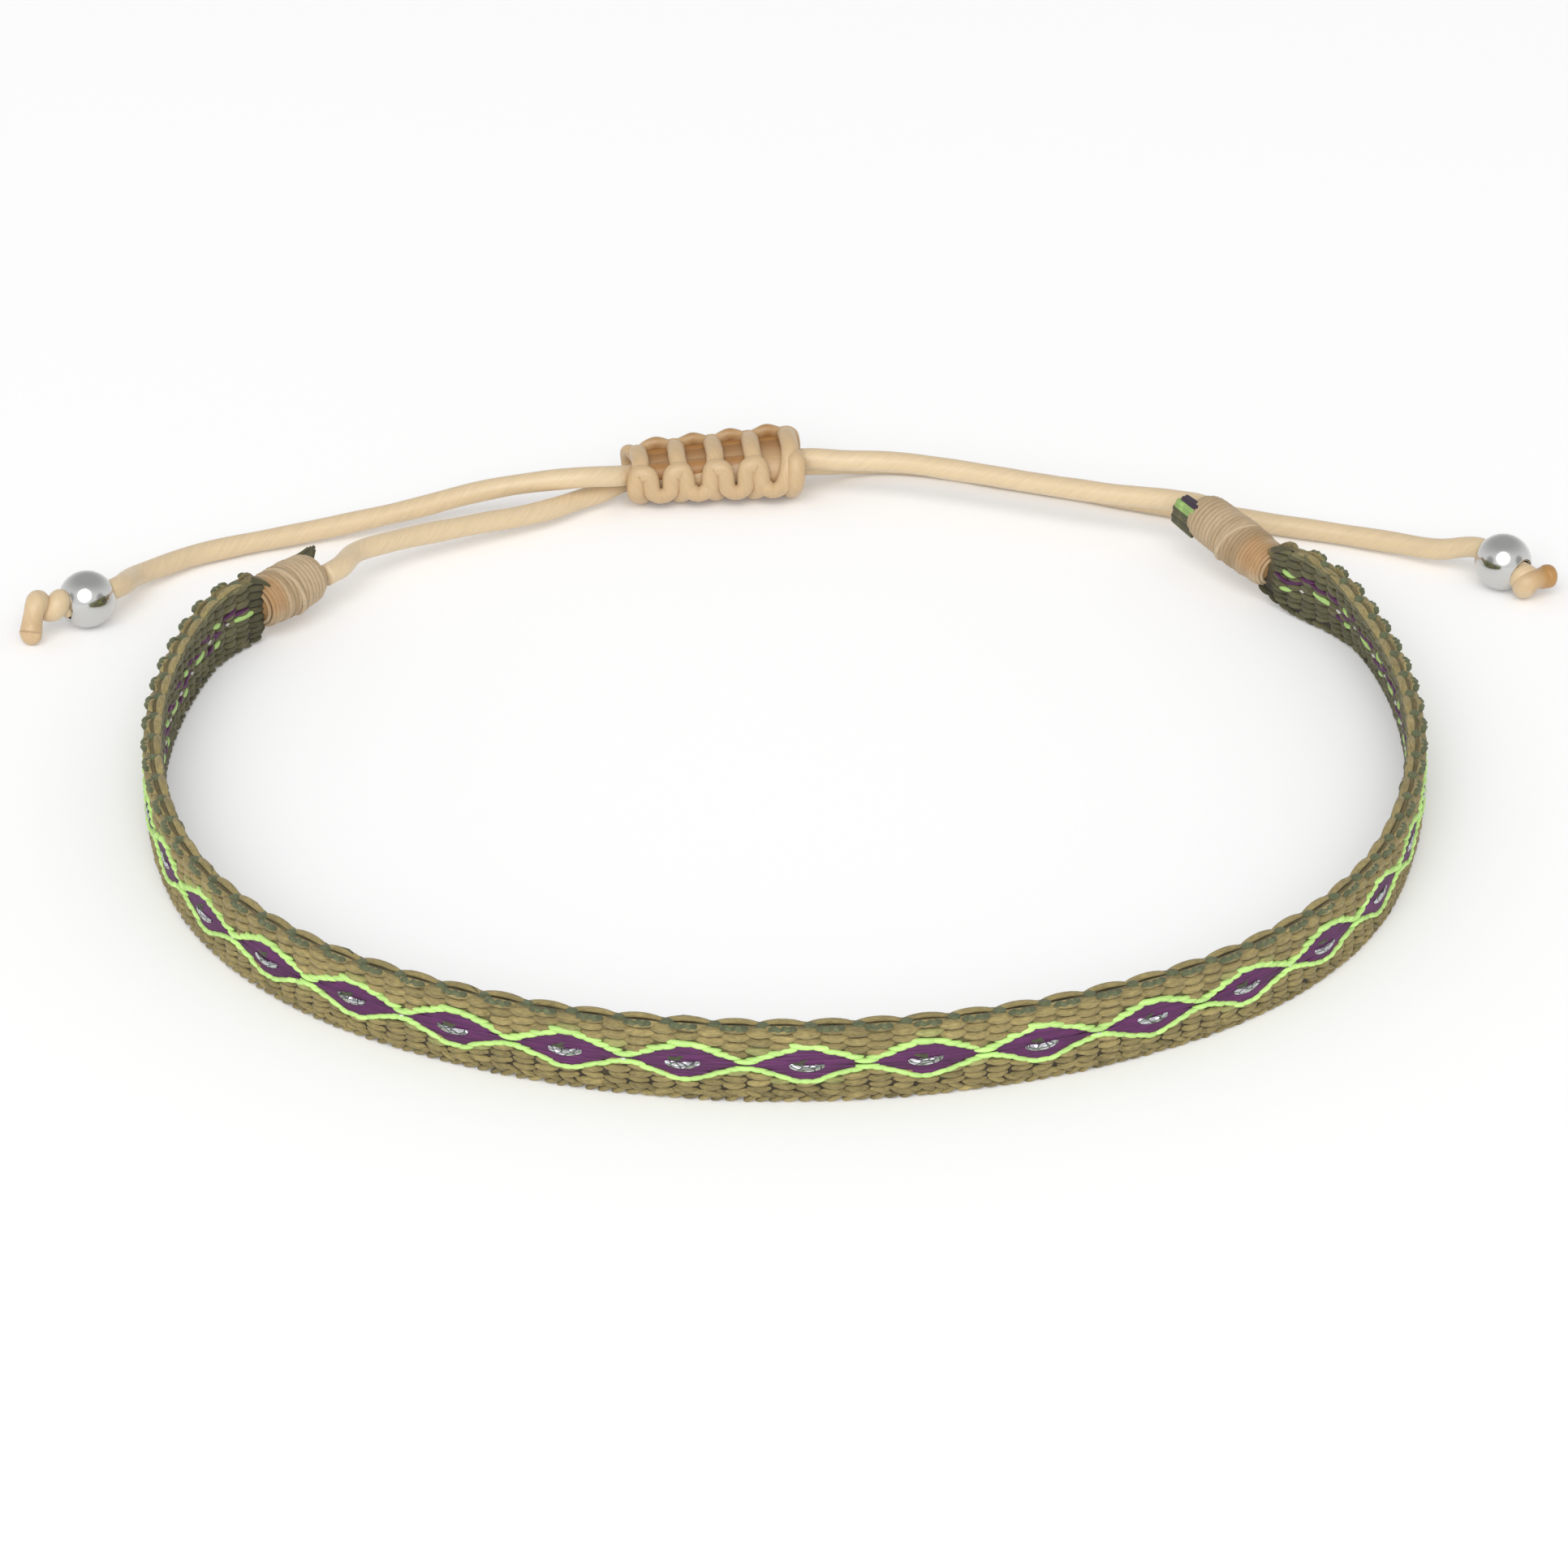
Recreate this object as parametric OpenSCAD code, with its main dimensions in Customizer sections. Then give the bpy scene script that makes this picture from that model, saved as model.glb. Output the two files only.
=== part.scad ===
// Woven friendship bracelet: a flat band standing on its lower edge, its two gathered ends
// whipped to thin waxed cords, and a sliding knot at the back through which both cords run
// to a steel bead and an end knot each.
// The origin is under the middle of the loop, +X to the right, +Y to the back, +Z up.

/* [Loop] */
// Depth of the loop, from the band's front to the back of the sliding knot
loop_depth = 66.7; // [60:0.1:75]
// Radius of the band's front arc, at the middle of its thickness
front_r = 35; // [30:0.5:42]
// Angle of the whole front arc
front_turn = 64; // [56:1:70]
// Radius of the two rounder shoulders
shoulder_r = 24.7; // [21:0.1:28]
// Angle of each shoulder
shoulder_turn = 40; // [34:1:44]
// Radius of the band's left side
left_side_r = 41; // [35:0.5:48]
// Radius of the band's right side
right_side_r = 44; // [38:0.5:50]
// Angle of each side
side_turn = 33; // [28:1:37]

/* [Band] */
// Width of the woven band, which is its height as it stands
band_w = 4; // [3.5:0.1:6]
// Thickness of the woven band
band_t = 1; // [0.8:0.05:1.4]
// Bevel along the band's four edges
band_edge = 0.2; // [0.1:0.02:0.3]
// Lean of the right side towards the wrist, in degrees
right_lean = 14; // [0:1:20]
// Lean of the left side towards the wrist, in degrees
left_lean = 1; // [0:1:20]
// Radius of the bend before the left wrap
left_bend_r = 9; // [7:0.5:14]
// Angle of the bend before the left wrap
left_bend_turn = 24; // [16:1:30]
// Straight stretch before the left wrap
left_end_len = 1.6; // [1.2:0.1:4]
// Radius of the bend before the right wrap
right_bend_r = 12; // [8:0.5:16]
// Angle of the bend before the right wrap
right_bend_turn = 22; // [16:1:30]
// Straight stretch before the right wrap
right_end_len = 3.8; // [2:0.1:5]
// Diameter of the band's gathered end inside a wrap
neck_d = 1.1; // [0.9:0.05:1.3]

/* [Band tips] */
// How far the left tip stands out of its wrap
left_tip_len = 1; // [0.6:0.1:2]
// Width of the left tip
left_tip_w = 1.2; // [0.8:0.1:1.4]
// Thickness of the left tip
left_tip_t = 0.9; // [0.6:0.05:1.2]
// How far the right tip stands out of its wrap
right_tip_len = 1.1; // [0.6:0.1:2]
// Width of the right tip
right_tip_w = 2.1; // [1.2:0.1:2.6]
// Thickness of the right tip
right_tip_t = 0.9; // [0.6:0.05:1.1]

/* [Wraps] */
// Length of the left wrap
left_wrap_len = 4.6; // [3.6:0.1:7]
// Length of the right wrap
right_wrap_len = 5.2; // [3.6:0.1:7]
// Thickness of the wound thread over the bundle at a wrap's ends
wrap_wall = 0.14; // [0.1:0.02:0.3]
// Wound thread between the band's neck and the cord
wrap_web = 0.08; // [0.04:0.02:0.2]
// Belly of a wrap: how much thicker its middle is than its ends, on the radius
wrap_belly = 0.1; // [0.02:0.02:0.2]
// Slope of the left wrap above the level, in degrees
left_wrap_rise = 2; // [0:1:12]
// Slope of the right wrap above the level, in degrees
right_wrap_rise = 10; // [0:1:12]
// Length of cord that is tucked under a wrap
cord_tuck = 3; // [2:0.1:3.4]

/* [Cords] */
// Diameter of the waxed cord
cord_d = 1.2; // [1:0.05:1.4]

/* [Sliding knot] */
// Length of the sliding knot
knot_len = 9.2; // [7:0.1:12]
// Half the knot's height over its humps at the left end
knot_left_r = 1.45; // [1.4:0.05:1.8]
// Half the knot's height over its humps at the right end
knot_right_r = 1.8; // [1.5:0.05:2.2]
// How much wider than high the flat knot is
knot_flatness = 1.2; // [1:0.05:1.4]
// Number of humps, one for each square knot
hump_count = 4; // [3:1:6]
// Depth of the valleys between the humps
hump_depth = 0.2; // [0.1:0.05:0.25]
// Length over which each end of the knot rounds off
knot_round = 1; // [0.6:0.1:1.5]
// Half height of the knot's flat end faces
knot_mouth_r = 1.35; // [1.3:0.05:1.4]
// Sideways place of the knot's middle
knot_x = -3.77; // [-6:0.01:0]
// Turn of the knot seen from above, in degrees
knot_turn = 6; // [2:0.5:12]
// Turn of the two strands in the knot seen from above, in degrees
strand_turn = 8; // [5:0.5:10]
// Distance of the strands from the knot's middle towards the wrist
strand_shift = 0.25; // [0.1:0.05:0.3]
// Slope of the line through the two strands at the knot's mouth, in degrees
strand_tilt = 40; // [30:1:45]
// Wall of knot between the two strands
strand_web = 0.06; // [0.04:0.02:0.1]

/* [Beads] */
// Diameter of each steel bead
bead_d = 3; // [2.6:0.1:3.4]
// Place of the left bead, sideways and from front to back
left_bead = [-36.1, 14.95];
// Heading of the left bead's bore, in degrees from +X
left_bead_turn = 212; // [200:1:225]
// Place of the right bead, sideways and from front to back
right_bead = [37.7, 19.35];
// Heading of the right bead's bore, in degrees from +X
right_bead_turn = -46; // [-60:1:-36]
// How far the bores dip towards the end knots, in degrees
bead_dip = 7; // [0:1:10]

/* [End knots] */
// Diameter of each end knot
end_knot_d = 1.9; // [1.8:0.05:2.2]
// Radius of the end knot's flat side against the bead
end_knot_flat_r = 0.72; // [0.68:0.01:0.8]
// Length of the cord's cut tip, from the middle of the end knot
cut_tip_len = 1.5; // [1.2:0.1:2.2]
// Heading of the left cut tip, in degrees from +X
left_cut_tip_turn = 248; // [230:1:265]
// Heading of the right cut tip, in degrees from +X
right_cut_tip_turn = 22; // [5:1:40]

/* [Fits] */
// Gap all round a cord or neck in its bore
cord_gap = 0.03; // [0.02:0.01:0.05]
// Gap between the band's shoulder or tip and the end of a wrap
wrap_gap = 0.05; // [0.03:0.01:0.1]
// Gap between a bead and its end knot
bead_gap = 0.05; // [0.03:0.01:0.1]

/* [Hidden] */
$fn = 48;

// Colours as the photograph shows them
weave_colour = [0.5, 0.46, 0.28];
thread_colour = [0.8, 0.7, 0.56];
cord_colour = [0.9, 0.8, 0.62];
steel_colour = [0.75, 0.75, 0.77];

// Directions: heading h is counted from +X, rise p is above the level
function along(h, p = 0) = [cos(h) * cos(p), sin(h) * cos(p), sin(p)];
function outward(h) = [sin(h), -cos(h), 0];
function upward(h, p) = cross(outward(h), along(h, p));
function unit(v) = v / norm(v);

// End of an arc of radius r and angle a that starts at point p with heading h
function arc_end(p, h, r, a) = p + r * [sin(h + a) - sin(h), cos(h) - cos(h + a), 0];

// The band's centre line on the right: front, shoulder, side, bend and a straight end.
// The left is the same in a mirror, so every side is worked out on the right.
front_start = [0, (band_t - loop_depth) / 2, 0];
front_heading = front_turn / 2;
front_end = arc_end(front_start, 0, front_r, front_heading);
shoulder_heading = front_heading + shoulder_turn;
shoulder_end = arc_end(front_end, front_heading, shoulder_r, shoulder_turn);
side_heading = shoulder_heading + side_turn;

// What differs between the two sides, each a list with these places
SIDE_R = 0;
BEND_R = 1;
BEND_TURN = 2;
END_LEN = 3;
LEAN = 4;
RISE = 5;
SEAT = 6;
WRAP_LEN = 7;
TIP_LEN = 8;
TIP_W = 9;
TIP_T = 10;
left_side = [left_side_r, left_bend_r, left_bend_turn, left_end_len, left_lean, left_wrap_rise,
             -90, left_wrap_len, left_tip_len, left_tip_w, left_tip_t];
right_side = [right_side_r, right_bend_r, right_bend_turn, right_end_len, right_lean,
              right_wrap_rise, 90, right_wrap_len, right_tip_len, right_tip_w, right_tip_t];

function side_end(s) = arc_end(shoulder_end, shoulder_heading, s[SIDE_R], side_turn);
function end_heading(s) = side_heading + s[BEND_TURN];
function bend_end(s) = arc_end(side_end(s), side_heading, s[BEND_R], s[BEND_TURN]);

// A wrap's axis starts at mid band, at the end of the straight stretch
function wrap_start(s) = bend_end(s) + s[END_LEN] * along(end_heading(s)) + [0, 0, band_w / 2];
function wrap_axis(s) = along(end_heading(s), s[RISE]);
function wrap_end(s) = wrap_start(s) + s[WRAP_LEN] * wrap_axis(s);

// Under the thread, neck and cord lie side by side; seat 90 puts the neck on the wrist's side
// of the cord, seat -90 on the outer side and seat 0 above it
neck_bore_r = neck_d / 2 + cord_gap;
cord_bore_r = cord_d / 2 + cord_gap;
wrap_r = neck_bore_r + cord_bore_r + wrap_web / 2 + wrap_wall;
neck_offset = wrap_r - wrap_wall - neck_bore_r;
cord_offset = wrap_r - wrap_wall - cord_bore_r;
function seat_dir(s) =
    cos(s[SEAT]) * upward(end_heading(s), s[RISE]) - sin(s[SEAT]) * outward(end_heading(s));
function cord_mouth(s) = wrap_end(s) - cord_offset * seat_dir(s);

// Cross-section of the band as eight corners, in its thickness and its width
function band_section(w, t, e) = [
    [t / 2, e - w / 2], [t / 2, w / 2 - e], [t / 2 - e, w / 2], [e - t / 2, w / 2],
    [-t / 2, w / 2 - e], [-t / 2, e - w / 2], [e - t / 2, -w / 2], [t / 2 - e, -w / 2]];

// Skin round a row of rings that have equal numbers of corners
module ring_skin(rings) {
    last = len(rings) - 1;
    sides = len(rings[0]);
    polyhedron(
        points = [for (ring = rings) each ring],
        faces = concat(
            [[for (j = [sides - 1:-1:0]) j]],
            [for (i = [0:last - 1], j = [0:sides - 1], half = [0, 1])
                let (a = sides * i + j, b = sides * i + (j + 1) % sides)
                half == 0 ? [a, b, b + sides] : [a, b + sides, a + sides]],
            [[for (j = [0:sides - 1]) sides * last + j]]));
}

// Stations of the band's end: zone (0 side, 1 bend, 2 straight), share of the zone's length,
// share of the width, share of the thickness and share of the lean
BAND_STATIONS = [
    [0, 0.00, 1.00, 1.00, 0.00],
    [0, 0.15, 1.00, 1.00, 0.00],
    [0, 0.30, 1.00, 1.00, 0.05],
    [0, 0.42, 1.00, 1.00, 0.15],
    [0, 0.54, 1.00, 1.00, 0.32],
    [0, 0.66, 1.00, 1.00, 0.55],
    [0, 0.78, 1.00, 1.00, 0.80],
    [0, 0.90, 1.00, 1.00, 0.95],
    [1, 0.00, 1.00, 1.00, 1.00],
    [1, 0.35, 1.00, 1.00, 0.85],
    [1, 0.70, 1.00, 1.00, 0.55],
    [2, 0.00, 1.00, 1.00, 0.25],
    [2, 0.40, 0.96, 1.05, 0.00],
    [2, 0.70, 0.88, 1.20, 0.00],
    [2, 0.90, 0.72, 1.50, 0.00]];

function station_point(s, zone, share) =
    zone == 0 ? arc_end(shoulder_end, shoulder_heading, s[SIDE_R], share * side_turn) :
    zone == 1 ? arc_end(side_end(s), side_heading, s[BEND_R], share * s[BEND_TURN]) :
    bend_end(s) + share * s[END_LEN] * along(end_heading(s));
function station_heading(s, zone, share) =
    zone == 0 ? shoulder_heading + share * side_turn :
    zone == 1 ? side_heading + share * s[BEND_TURN] :
    end_heading(s);

// Ring of corners round centre c: thickness goes along n and width along u
function ring(c, n, u, w, t, e) = [for (q = band_section(w, t, e)) c + q[0] * n + q[1] * u];

// Ring of a leaning station: it turns about its lower corner, so it stays on the floor
function station_ring(s, row) =
    let (h = station_heading(s, row[0], row[1]),
         lean = row[4] * s[LEAN],
         n = cos(lean) * outward(h) + sin(lean) * [0, 0, 1],
         u = cos(lean) * [0, 0, 1] - sin(lean) * outward(h),
         lift = band_w / 2 * cos(lean) + band_t / 2 * sin(lean))
    ring(station_point(s, row[0], row[1]) + [0, 0, lift], n, u,
         row[2] * band_w, row[3] * band_t, band_edge);

// Flats and corner cut of an octagon whose corners lie on a circle of diameter d
function octagon_flat(d) = d * cos(22.5);
function octagon_cut(d) = octagon_flat(d) * (1 - tan(22.5)) / 2;

// Ring of the neck or tip at a distance from the wrap's start
function bundle_ring(s, distance, w, t, e) =
    let (h = end_heading(s))
    ring(wrap_start(s) + distance * wrap_axis(s) + neck_offset * seat_dir(s),
         outward(h), upward(h, s[RISE]), w, t, e);
function neck_ring(s, distance) =
    bundle_ring(s, distance, octagon_flat(neck_d), octagon_flat(neck_d), octagon_cut(neck_d));
function tip_ring(s, distance, share) =
    bundle_ring(s, s[WRAP_LEN] + distance, share * s[TIP_W], share * s[TIP_T], band_edge);

// Upright station on the front arc or a shoulder: starts at p with heading h
function upright_ring(p, h, r, a) =
    ring(arc_end(p, h, r, a) + [0, 0, band_w / 2], outward(h + a), [0, 0, 1],
         band_w, band_t, band_edge);

// Rings of one half of the band, from just beside the front's middle to the tip
FRONT_STEPS = 8;
SHOULDER_STEPS = 10;
function half_rings(s) = concat(
    [for (i = [1:FRONT_STEPS])
        upright_ring(front_start, 0, front_r, front_heading * i / FRONT_STEPS)],
    [for (i = [1:SHOULDER_STEPS - 1])
        upright_ring(front_end, front_heading, shoulder_r, shoulder_turn * i / SHOULDER_STEPS)],
    [for (row = BAND_STATIONS) station_ring(s, row)],
    [neck_ring(s, -wrap_gap), neck_ring(s, s[WRAP_LEN] + wrap_gap),
     tip_ring(s, 2 * wrap_gap, 1), tip_ring(s, 0.7 * s[TIP_LEN], 1),
     tip_ring(s, s[TIP_LEN], 0.8)]);

// The left half is mirrored and taken in the other order, so one skin runs from tip to tip
function mirrored(p) = [-p[0], p[1], p[2]];
function left_half() =
    let (rings = half_rings(left_side))
    [for (i = [len(rings) - 1:-1:0]) [for (p = rings[i]) mirrored(p)]];

module band() color(weave_colour)
    ring_skin(concat(left_half(), [upright_ring(front_start, 0, front_r, 0)],
                     half_rings(right_side)));

// Profile of a wrap: a belly between two bevelled ends
WRAP_STRIPS = 8;
wrap_bevel = wrap_wall / 2;
function wrap_profile(length) = concat(
    [[0, 0], [wrap_r - wrap_bevel, 0]],
    [for (i = [0:WRAP_STRIPS])
        let (share = i / WRAP_STRIPS)
        [wrap_r + wrap_belly * sin(180 * share),
         wrap_bevel + share * (length - 2 * wrap_bevel)]],
    [[wrap_r - wrap_bevel, length], [0, length]]);

// Wound thread round the neck, which runs right through, and the tucked end of the cord
module wrap(s) color(thread_colour) {
    length = s[WRAP_LEN];
    pocket = cord_tuck + cord_gap;
    seat = [-cos(s[SEAT]), sin(s[SEAT]), 0];
    translate(wrap_start(s))
        rotate([0, 90 - s[RISE], end_heading(s)])
            difference() {
                rotate_extrude() polygon(wrap_profile(length));
                translate(neck_offset * seat - [0, 0, 1])
                    cylinder(r = neck_bore_r, h = length + 2);
                translate([0, 0, length - pocket] - cord_offset * seat)
                    cylinder(r = cord_bore_r, h = pocket + 1);
            }
}

module left_wrap() mirror([1, 0, 0]) wrap(left_side);
module right_wrap() wrap(right_side);

// The knot lies on the floor along its whole length, so its axis rises as its radius grows,
// and its back touches the loop's depth
function knot_taper_r(z) = knot_left_r + (knot_right_r - knot_left_r) * z / knot_len;
knot_rise = asin((knot_right_r - knot_left_r) / knot_len);
knot_axis = along(knot_turn, knot_rise);
last_hump = knot_len * (1 - 1 / hump_count / 2);
knot_back = (last_hump - knot_len / 2) * sin(knot_turn) + knot_flatness / 2 * cos(knot_turn)
    + knot_taper_r(last_hump);
knot_middle = [knot_x, loop_depth / 2 - knot_back, knot_taper_r(knot_len / 2)];

// The two strands run side by side, the left loop's strand behind and below the right loop's
strand_pitch = 2 * cord_bore_r + strand_web;
strand_axis = along(strand_turn, knot_rise);
strand_offset = strand_pitch / 2
    * (-cos(strand_tilt) * outward(strand_turn) - sin(strand_tilt) * [0, 0, 1]);
strand_middle = knot_middle + strand_shift * outward(knot_turn);
function strand_point(side, share) =
    strand_middle + side * strand_offset + share * knot_len / 2 * strand_axis;

// Half height of the knot at a distance from its left end: humps that round off at both ends
HUMP_STRIPS = 6;
function hump_r(z) =
    knot_taper_r(z) - hump_depth * (1 - abs(sin(180 * hump_count * z / knot_len)));
function end_share(z) = max(0, 1 - min(z, knot_len - z) / knot_round);
function knot_r(z) =
    let (share = sqrt(1 - pow(end_share(z), 2)))
    knot_mouth_r + share * (hump_r(z) - knot_mouth_r);
knot_strips = HUMP_STRIPS * hump_count;

// Ring of the knot: two half circles set apart, which makes the knot flat
KNOT_SIDES = 16;
function knot_ring(z) =
    let (c = knot_middle + (z - knot_len / 2) * knot_axis,
         r = knot_r(z))
    [for (j = [0:KNOT_SIDES - 1])
        let (a = 360 * (j + 0.5) / KNOT_SIDES)
        c + (sign(cos(a)) * knot_flatness / 2 + r * cos(a)) * outward(knot_turn)
            + r * sin(a) * upward(knot_turn, knot_rise)];

module sliding_knot() color(cord_colour)
    difference() {
        ring_skin([for (i = [0:knot_strips]) knot_ring(knot_len * i / knot_strips)]);
        for (side = [-1, 1])
            translate(strand_point(side, -1) - strand_axis)
                rotate([0, 90 - knot_rise, strand_turn])
                    cylinder(r = cord_bore_r, h = knot_len + 2);
    }

// Cord: an eight-sided tube through the points of its route
function route_heading(route, i) =
    unit(route[min(i + 1, len(route) - 1)] - route[max(i - 1, 0)]);
function cord_ring(route, i) =
    let (t = route_heading(route, i),
         n = unit(cross(t, [0, 0, 1])),
         u = cross(n, t))
    [for (j = [0:7]) route[i] + cord_d / 2 * (cos(45 * j) * n + sin(45 * j) * u)];
module cord(route) color(cord_colour)
    ring_skin([for (i = [0:len(route) - 1]) cord_ring(route, i)]);

// A cord runs straight for this far outside a bore
cord_lead = 0.3;

left_mouth = mirrored(cord_mouth(left_side));
left_mouth_axis = mirrored(wrap_axis(left_side));
right_mouth = cord_mouth(right_side);
right_mouth_axis = wrap_axis(right_side);

// Routes between the computed ends: points chosen by hand along each cord's centre line
LEFT_LOOP_POINTS = [
    [-22.4, 19.5, 2], [-20.8, 21.1, 1.8], [-19.2, 22.4, 1.6], [-17.5, 23.5, 1.45],
    [-15.8, 24.6, 1.3], [-14.1, 25.7, 1.1], [-12.4, 27, 0.95], [-10.8, 28.5, 0.85],
    [-9.9, 29.2, 0.85]];
RIGHT_LOOP_POINTS = [
    [20.7, 24.05, 2.85], [19, 24.75, 2.7], [17.2, 25.4, 2.6], [15.4, 26.1, 2.55],
    [13.7, 26.8, 2.5], [12, 27.5, 2.5], [10.2, 28.2, 2.5], [8.5, 28.8, 2.5],
    [6.8, 29.4, 2.5], [5, 29.9, 2.4], [3.2, 30.2, 2.3]];
LEFT_TAIL_POINTS = [
    [-9.4, 28.5, 2.15], [-10.5, 28.1, 2.3], [-11.6, 27.9, 2.3], [-13.3, 27.9, 2.1],
    [-15.1, 27.8, 1.85], [-16.8, 27.5, 1.6], [-19.4, 26.6, 1.25], [-22.8, 25.5, 0.9],
    [-26.2, 24.3, 0.68], [-29.4, 22.9, 0.64], [-31.2, 21.8, 0.68], [-32.7, 20.3, 0.8],
    [-34, 18.4, 1.1]];
RIGHT_TAIL_POINTS = [
    [2.3, 32.2, 1.1], [3.6, 33, 0.8], [5.2, 33.4, 0.65], [7, 33.3, 0.62],
    [9, 32.7, 0.62], [12.1, 31.5, 0.62], [15.5, 30.2, 0.62], [19, 28.7, 0.62],
    [22.4, 27.3, 0.62], [25.8, 25.9, 0.62], [29.1, 24.7, 0.64], [32.2, 23.3, 0.75],
    [34.6, 21.8, 1.05]];

// A loop cord goes from its pocket in the wrap right through the sliding knot
left_loop_route = concat(
    [left_mouth - cord_tuck * left_mouth_axis, left_mouth + cord_lead * left_mouth_axis],
    LEFT_LOOP_POINTS,
    [strand_point(1, -1) - cord_lead * strand_axis, strand_point(1, 1)]);
right_loop_route = concat(
    [right_mouth - cord_tuck * right_mouth_axis, right_mouth + cord_lead * right_mouth_axis],
    RIGHT_LOOP_POINTS,
    [strand_point(-1, 1) + cord_lead * strand_axis, strand_point(-1, -1)]);

module left_loop_cord() cord(left_loop_route);
module right_loop_cord() cord(right_loop_route);

// Beads stand on the floor, and a cord ends just past its bead's bore
bead_bore_r = cord_d / 2 + cord_gap;
cord_end_distance = sqrt(pow(bead_d / 2, 2) - pow(bead_bore_r, 2)) + bead_gap;
left_bead_middle = [left_bead[0], left_bead[1], bead_d / 2];
right_bead_middle = [right_bead[0], right_bead[1], bead_d / 2];
left_bead_axis = along(left_bead_turn, -bead_dip);
right_bead_axis = along(right_bead_turn, -bead_dip);

function tail_end(middle, axis) =
    [middle - (bead_d / 2 + cord_lead) * axis, middle + cord_end_distance * axis];

// A tail goes on where the loop cord ends, at the sliding knot's mouth
left_tail_route = concat(
    [strand_point(-1, -1), strand_point(-1, -1) - cord_lead * strand_axis],
    LEFT_TAIL_POINTS,
    tail_end(left_bead_middle, left_bead_axis));
right_tail_route = concat(
    [strand_point(1, 1), strand_point(1, 1) + cord_lead * strand_axis],
    RIGHT_TAIL_POINTS,
    tail_end(right_bead_middle, right_bead_axis));

module left_tail_cord() cord(left_tail_route);
module right_tail_cord() cord(right_tail_route);

module bead(middle, turn) color(steel_colour)
    translate(middle)
        rotate([0, 90 + bead_dip, turn])
            difference() {
                sphere(d = bead_d);
                translate([0, 0, -bead_d])
                    cylinder(r = bead_bore_r, h = 2 * bead_d);
            }

module left_bead() bead(left_bead_middle, left_bead_turn);
module right_bead() bead(right_bead_middle, right_bead_turn);

// End knot: a ball with a flat side on the cord's end, and the cord's cut tip
end_knot_r = end_knot_d / 2;
end_knot_inset = sqrt(pow(end_knot_r, 2) - pow(end_knot_flat_r, 2));
module end_knot(middle, turn, tip_turn) color(thread_colour) {
    knot_distance = cord_end_distance + end_knot_inset;
    ball = middle + knot_distance * along(turn, -bead_dip);
    tip_drop = asin((ball[2] - cord_d / 2) / cut_tip_len);
    translate(ball) {
        rotate([0, 90 + bead_dip, turn])
            difference() {
                sphere(r = end_knot_r);
                translate([-end_knot_d, -end_knot_d, -end_knot_inset - end_knot_d])
                    cube([2 * end_knot_d, 2 * end_knot_d, end_knot_d]);
            }
        rotate([0, 90 + tip_drop, tip_turn]) {
            cylinder(d = cord_d, h = cut_tip_len);
            translate([0, 0, cut_tip_len]) sphere(d = cord_d);
        }
    }
}

module left_end_knot() end_knot(left_bead_middle, left_bead_turn, left_cut_tip_turn);
module right_end_knot() end_knot(right_bead_middle, right_bead_turn, right_cut_tip_turn);

band();
left_wrap();
right_wrap();
sliding_knot();
left_loop_cord();
right_loop_cord();
left_tail_cord();
right_tail_cord();
left_bead();
right_bead();
left_end_knot();
right_end_knot();
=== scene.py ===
# %% [markdown]
# # A woven friendship bracelet
# The real thing is a flat band, 4 mm wide and 1 mm thick. It is woven from olive threads, with a
# traditional row of diamonds in neon green and purple and a glint of metal strip in each. Both
# ends are gathered and whipped to thin waxed cords. The cords run through a row of square knots,
# so the loop can be made wider or tighter, and each cord ends in a steel bead and a knot.
#
# The solids of a CAD model are loaded first, as a fixed frame in metres. Everything that is made
# here sits where those solids are, and gives them the stitches, threads and finishes.

# %% Load the frame
import bpy
import numpy as np
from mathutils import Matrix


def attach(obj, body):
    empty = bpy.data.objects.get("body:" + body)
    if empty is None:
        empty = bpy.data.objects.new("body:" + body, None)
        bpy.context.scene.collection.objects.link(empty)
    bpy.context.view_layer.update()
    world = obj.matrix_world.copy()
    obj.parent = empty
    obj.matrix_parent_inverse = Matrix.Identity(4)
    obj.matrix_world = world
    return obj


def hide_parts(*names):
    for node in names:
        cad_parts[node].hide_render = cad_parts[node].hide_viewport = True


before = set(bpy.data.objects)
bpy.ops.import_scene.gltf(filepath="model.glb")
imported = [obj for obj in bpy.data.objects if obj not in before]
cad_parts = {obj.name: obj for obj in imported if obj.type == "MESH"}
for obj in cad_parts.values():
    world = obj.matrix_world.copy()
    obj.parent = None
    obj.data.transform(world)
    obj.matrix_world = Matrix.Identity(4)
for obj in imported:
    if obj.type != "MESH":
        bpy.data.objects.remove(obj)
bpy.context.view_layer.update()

print("pieces in the frame:", sorted(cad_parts))

# %% [markdown]
# ## Camera
# The photograph looks down at the standing band at 28 degrees, from about 30 cm, through a long
# lens. A camera needs three things to agree with it: the height angle, the distance, and how
# many pixels one millimetre takes. The focal length follows from the last two, so it is worked
# out and not typed. Sizes are written in millimetres and turned into metres at the end.

# %% Camera at the photograph's angle
MM = 0.001
PHOTO_PIXELS = 1932
PIXELS_PER_MM = 25.3
CAMERA_DISTANCE = 300.0
CAMERA_RISE = np.radians(28)
LOOK_AT = np.array([0, -6.4, 2.0])


def add_camera():
    data = bpy.data.cameras.new("camera")
    data.sensor_width = 36
    data.lens = data.sensor_width * CAMERA_DISTANCE * PIXELS_PER_MM / PHOTO_PIXELS
    camera = bpy.data.objects.new("camera", data)
    back = np.array([0, -np.cos(CAMERA_RISE), np.sin(CAMERA_RISE)])
    camera.location = (LOOK_AT + CAMERA_DISTANCE * back) * MM
    camera.rotation_euler = (np.pi / 2 - CAMERA_RISE, 0, 0)
    bpy.context.scene.collection.objects.link(camera)
    bpy.context.scene.camera = camera
    print("focal length in mm:", round(data.lens, 1))


add_camera()

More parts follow.
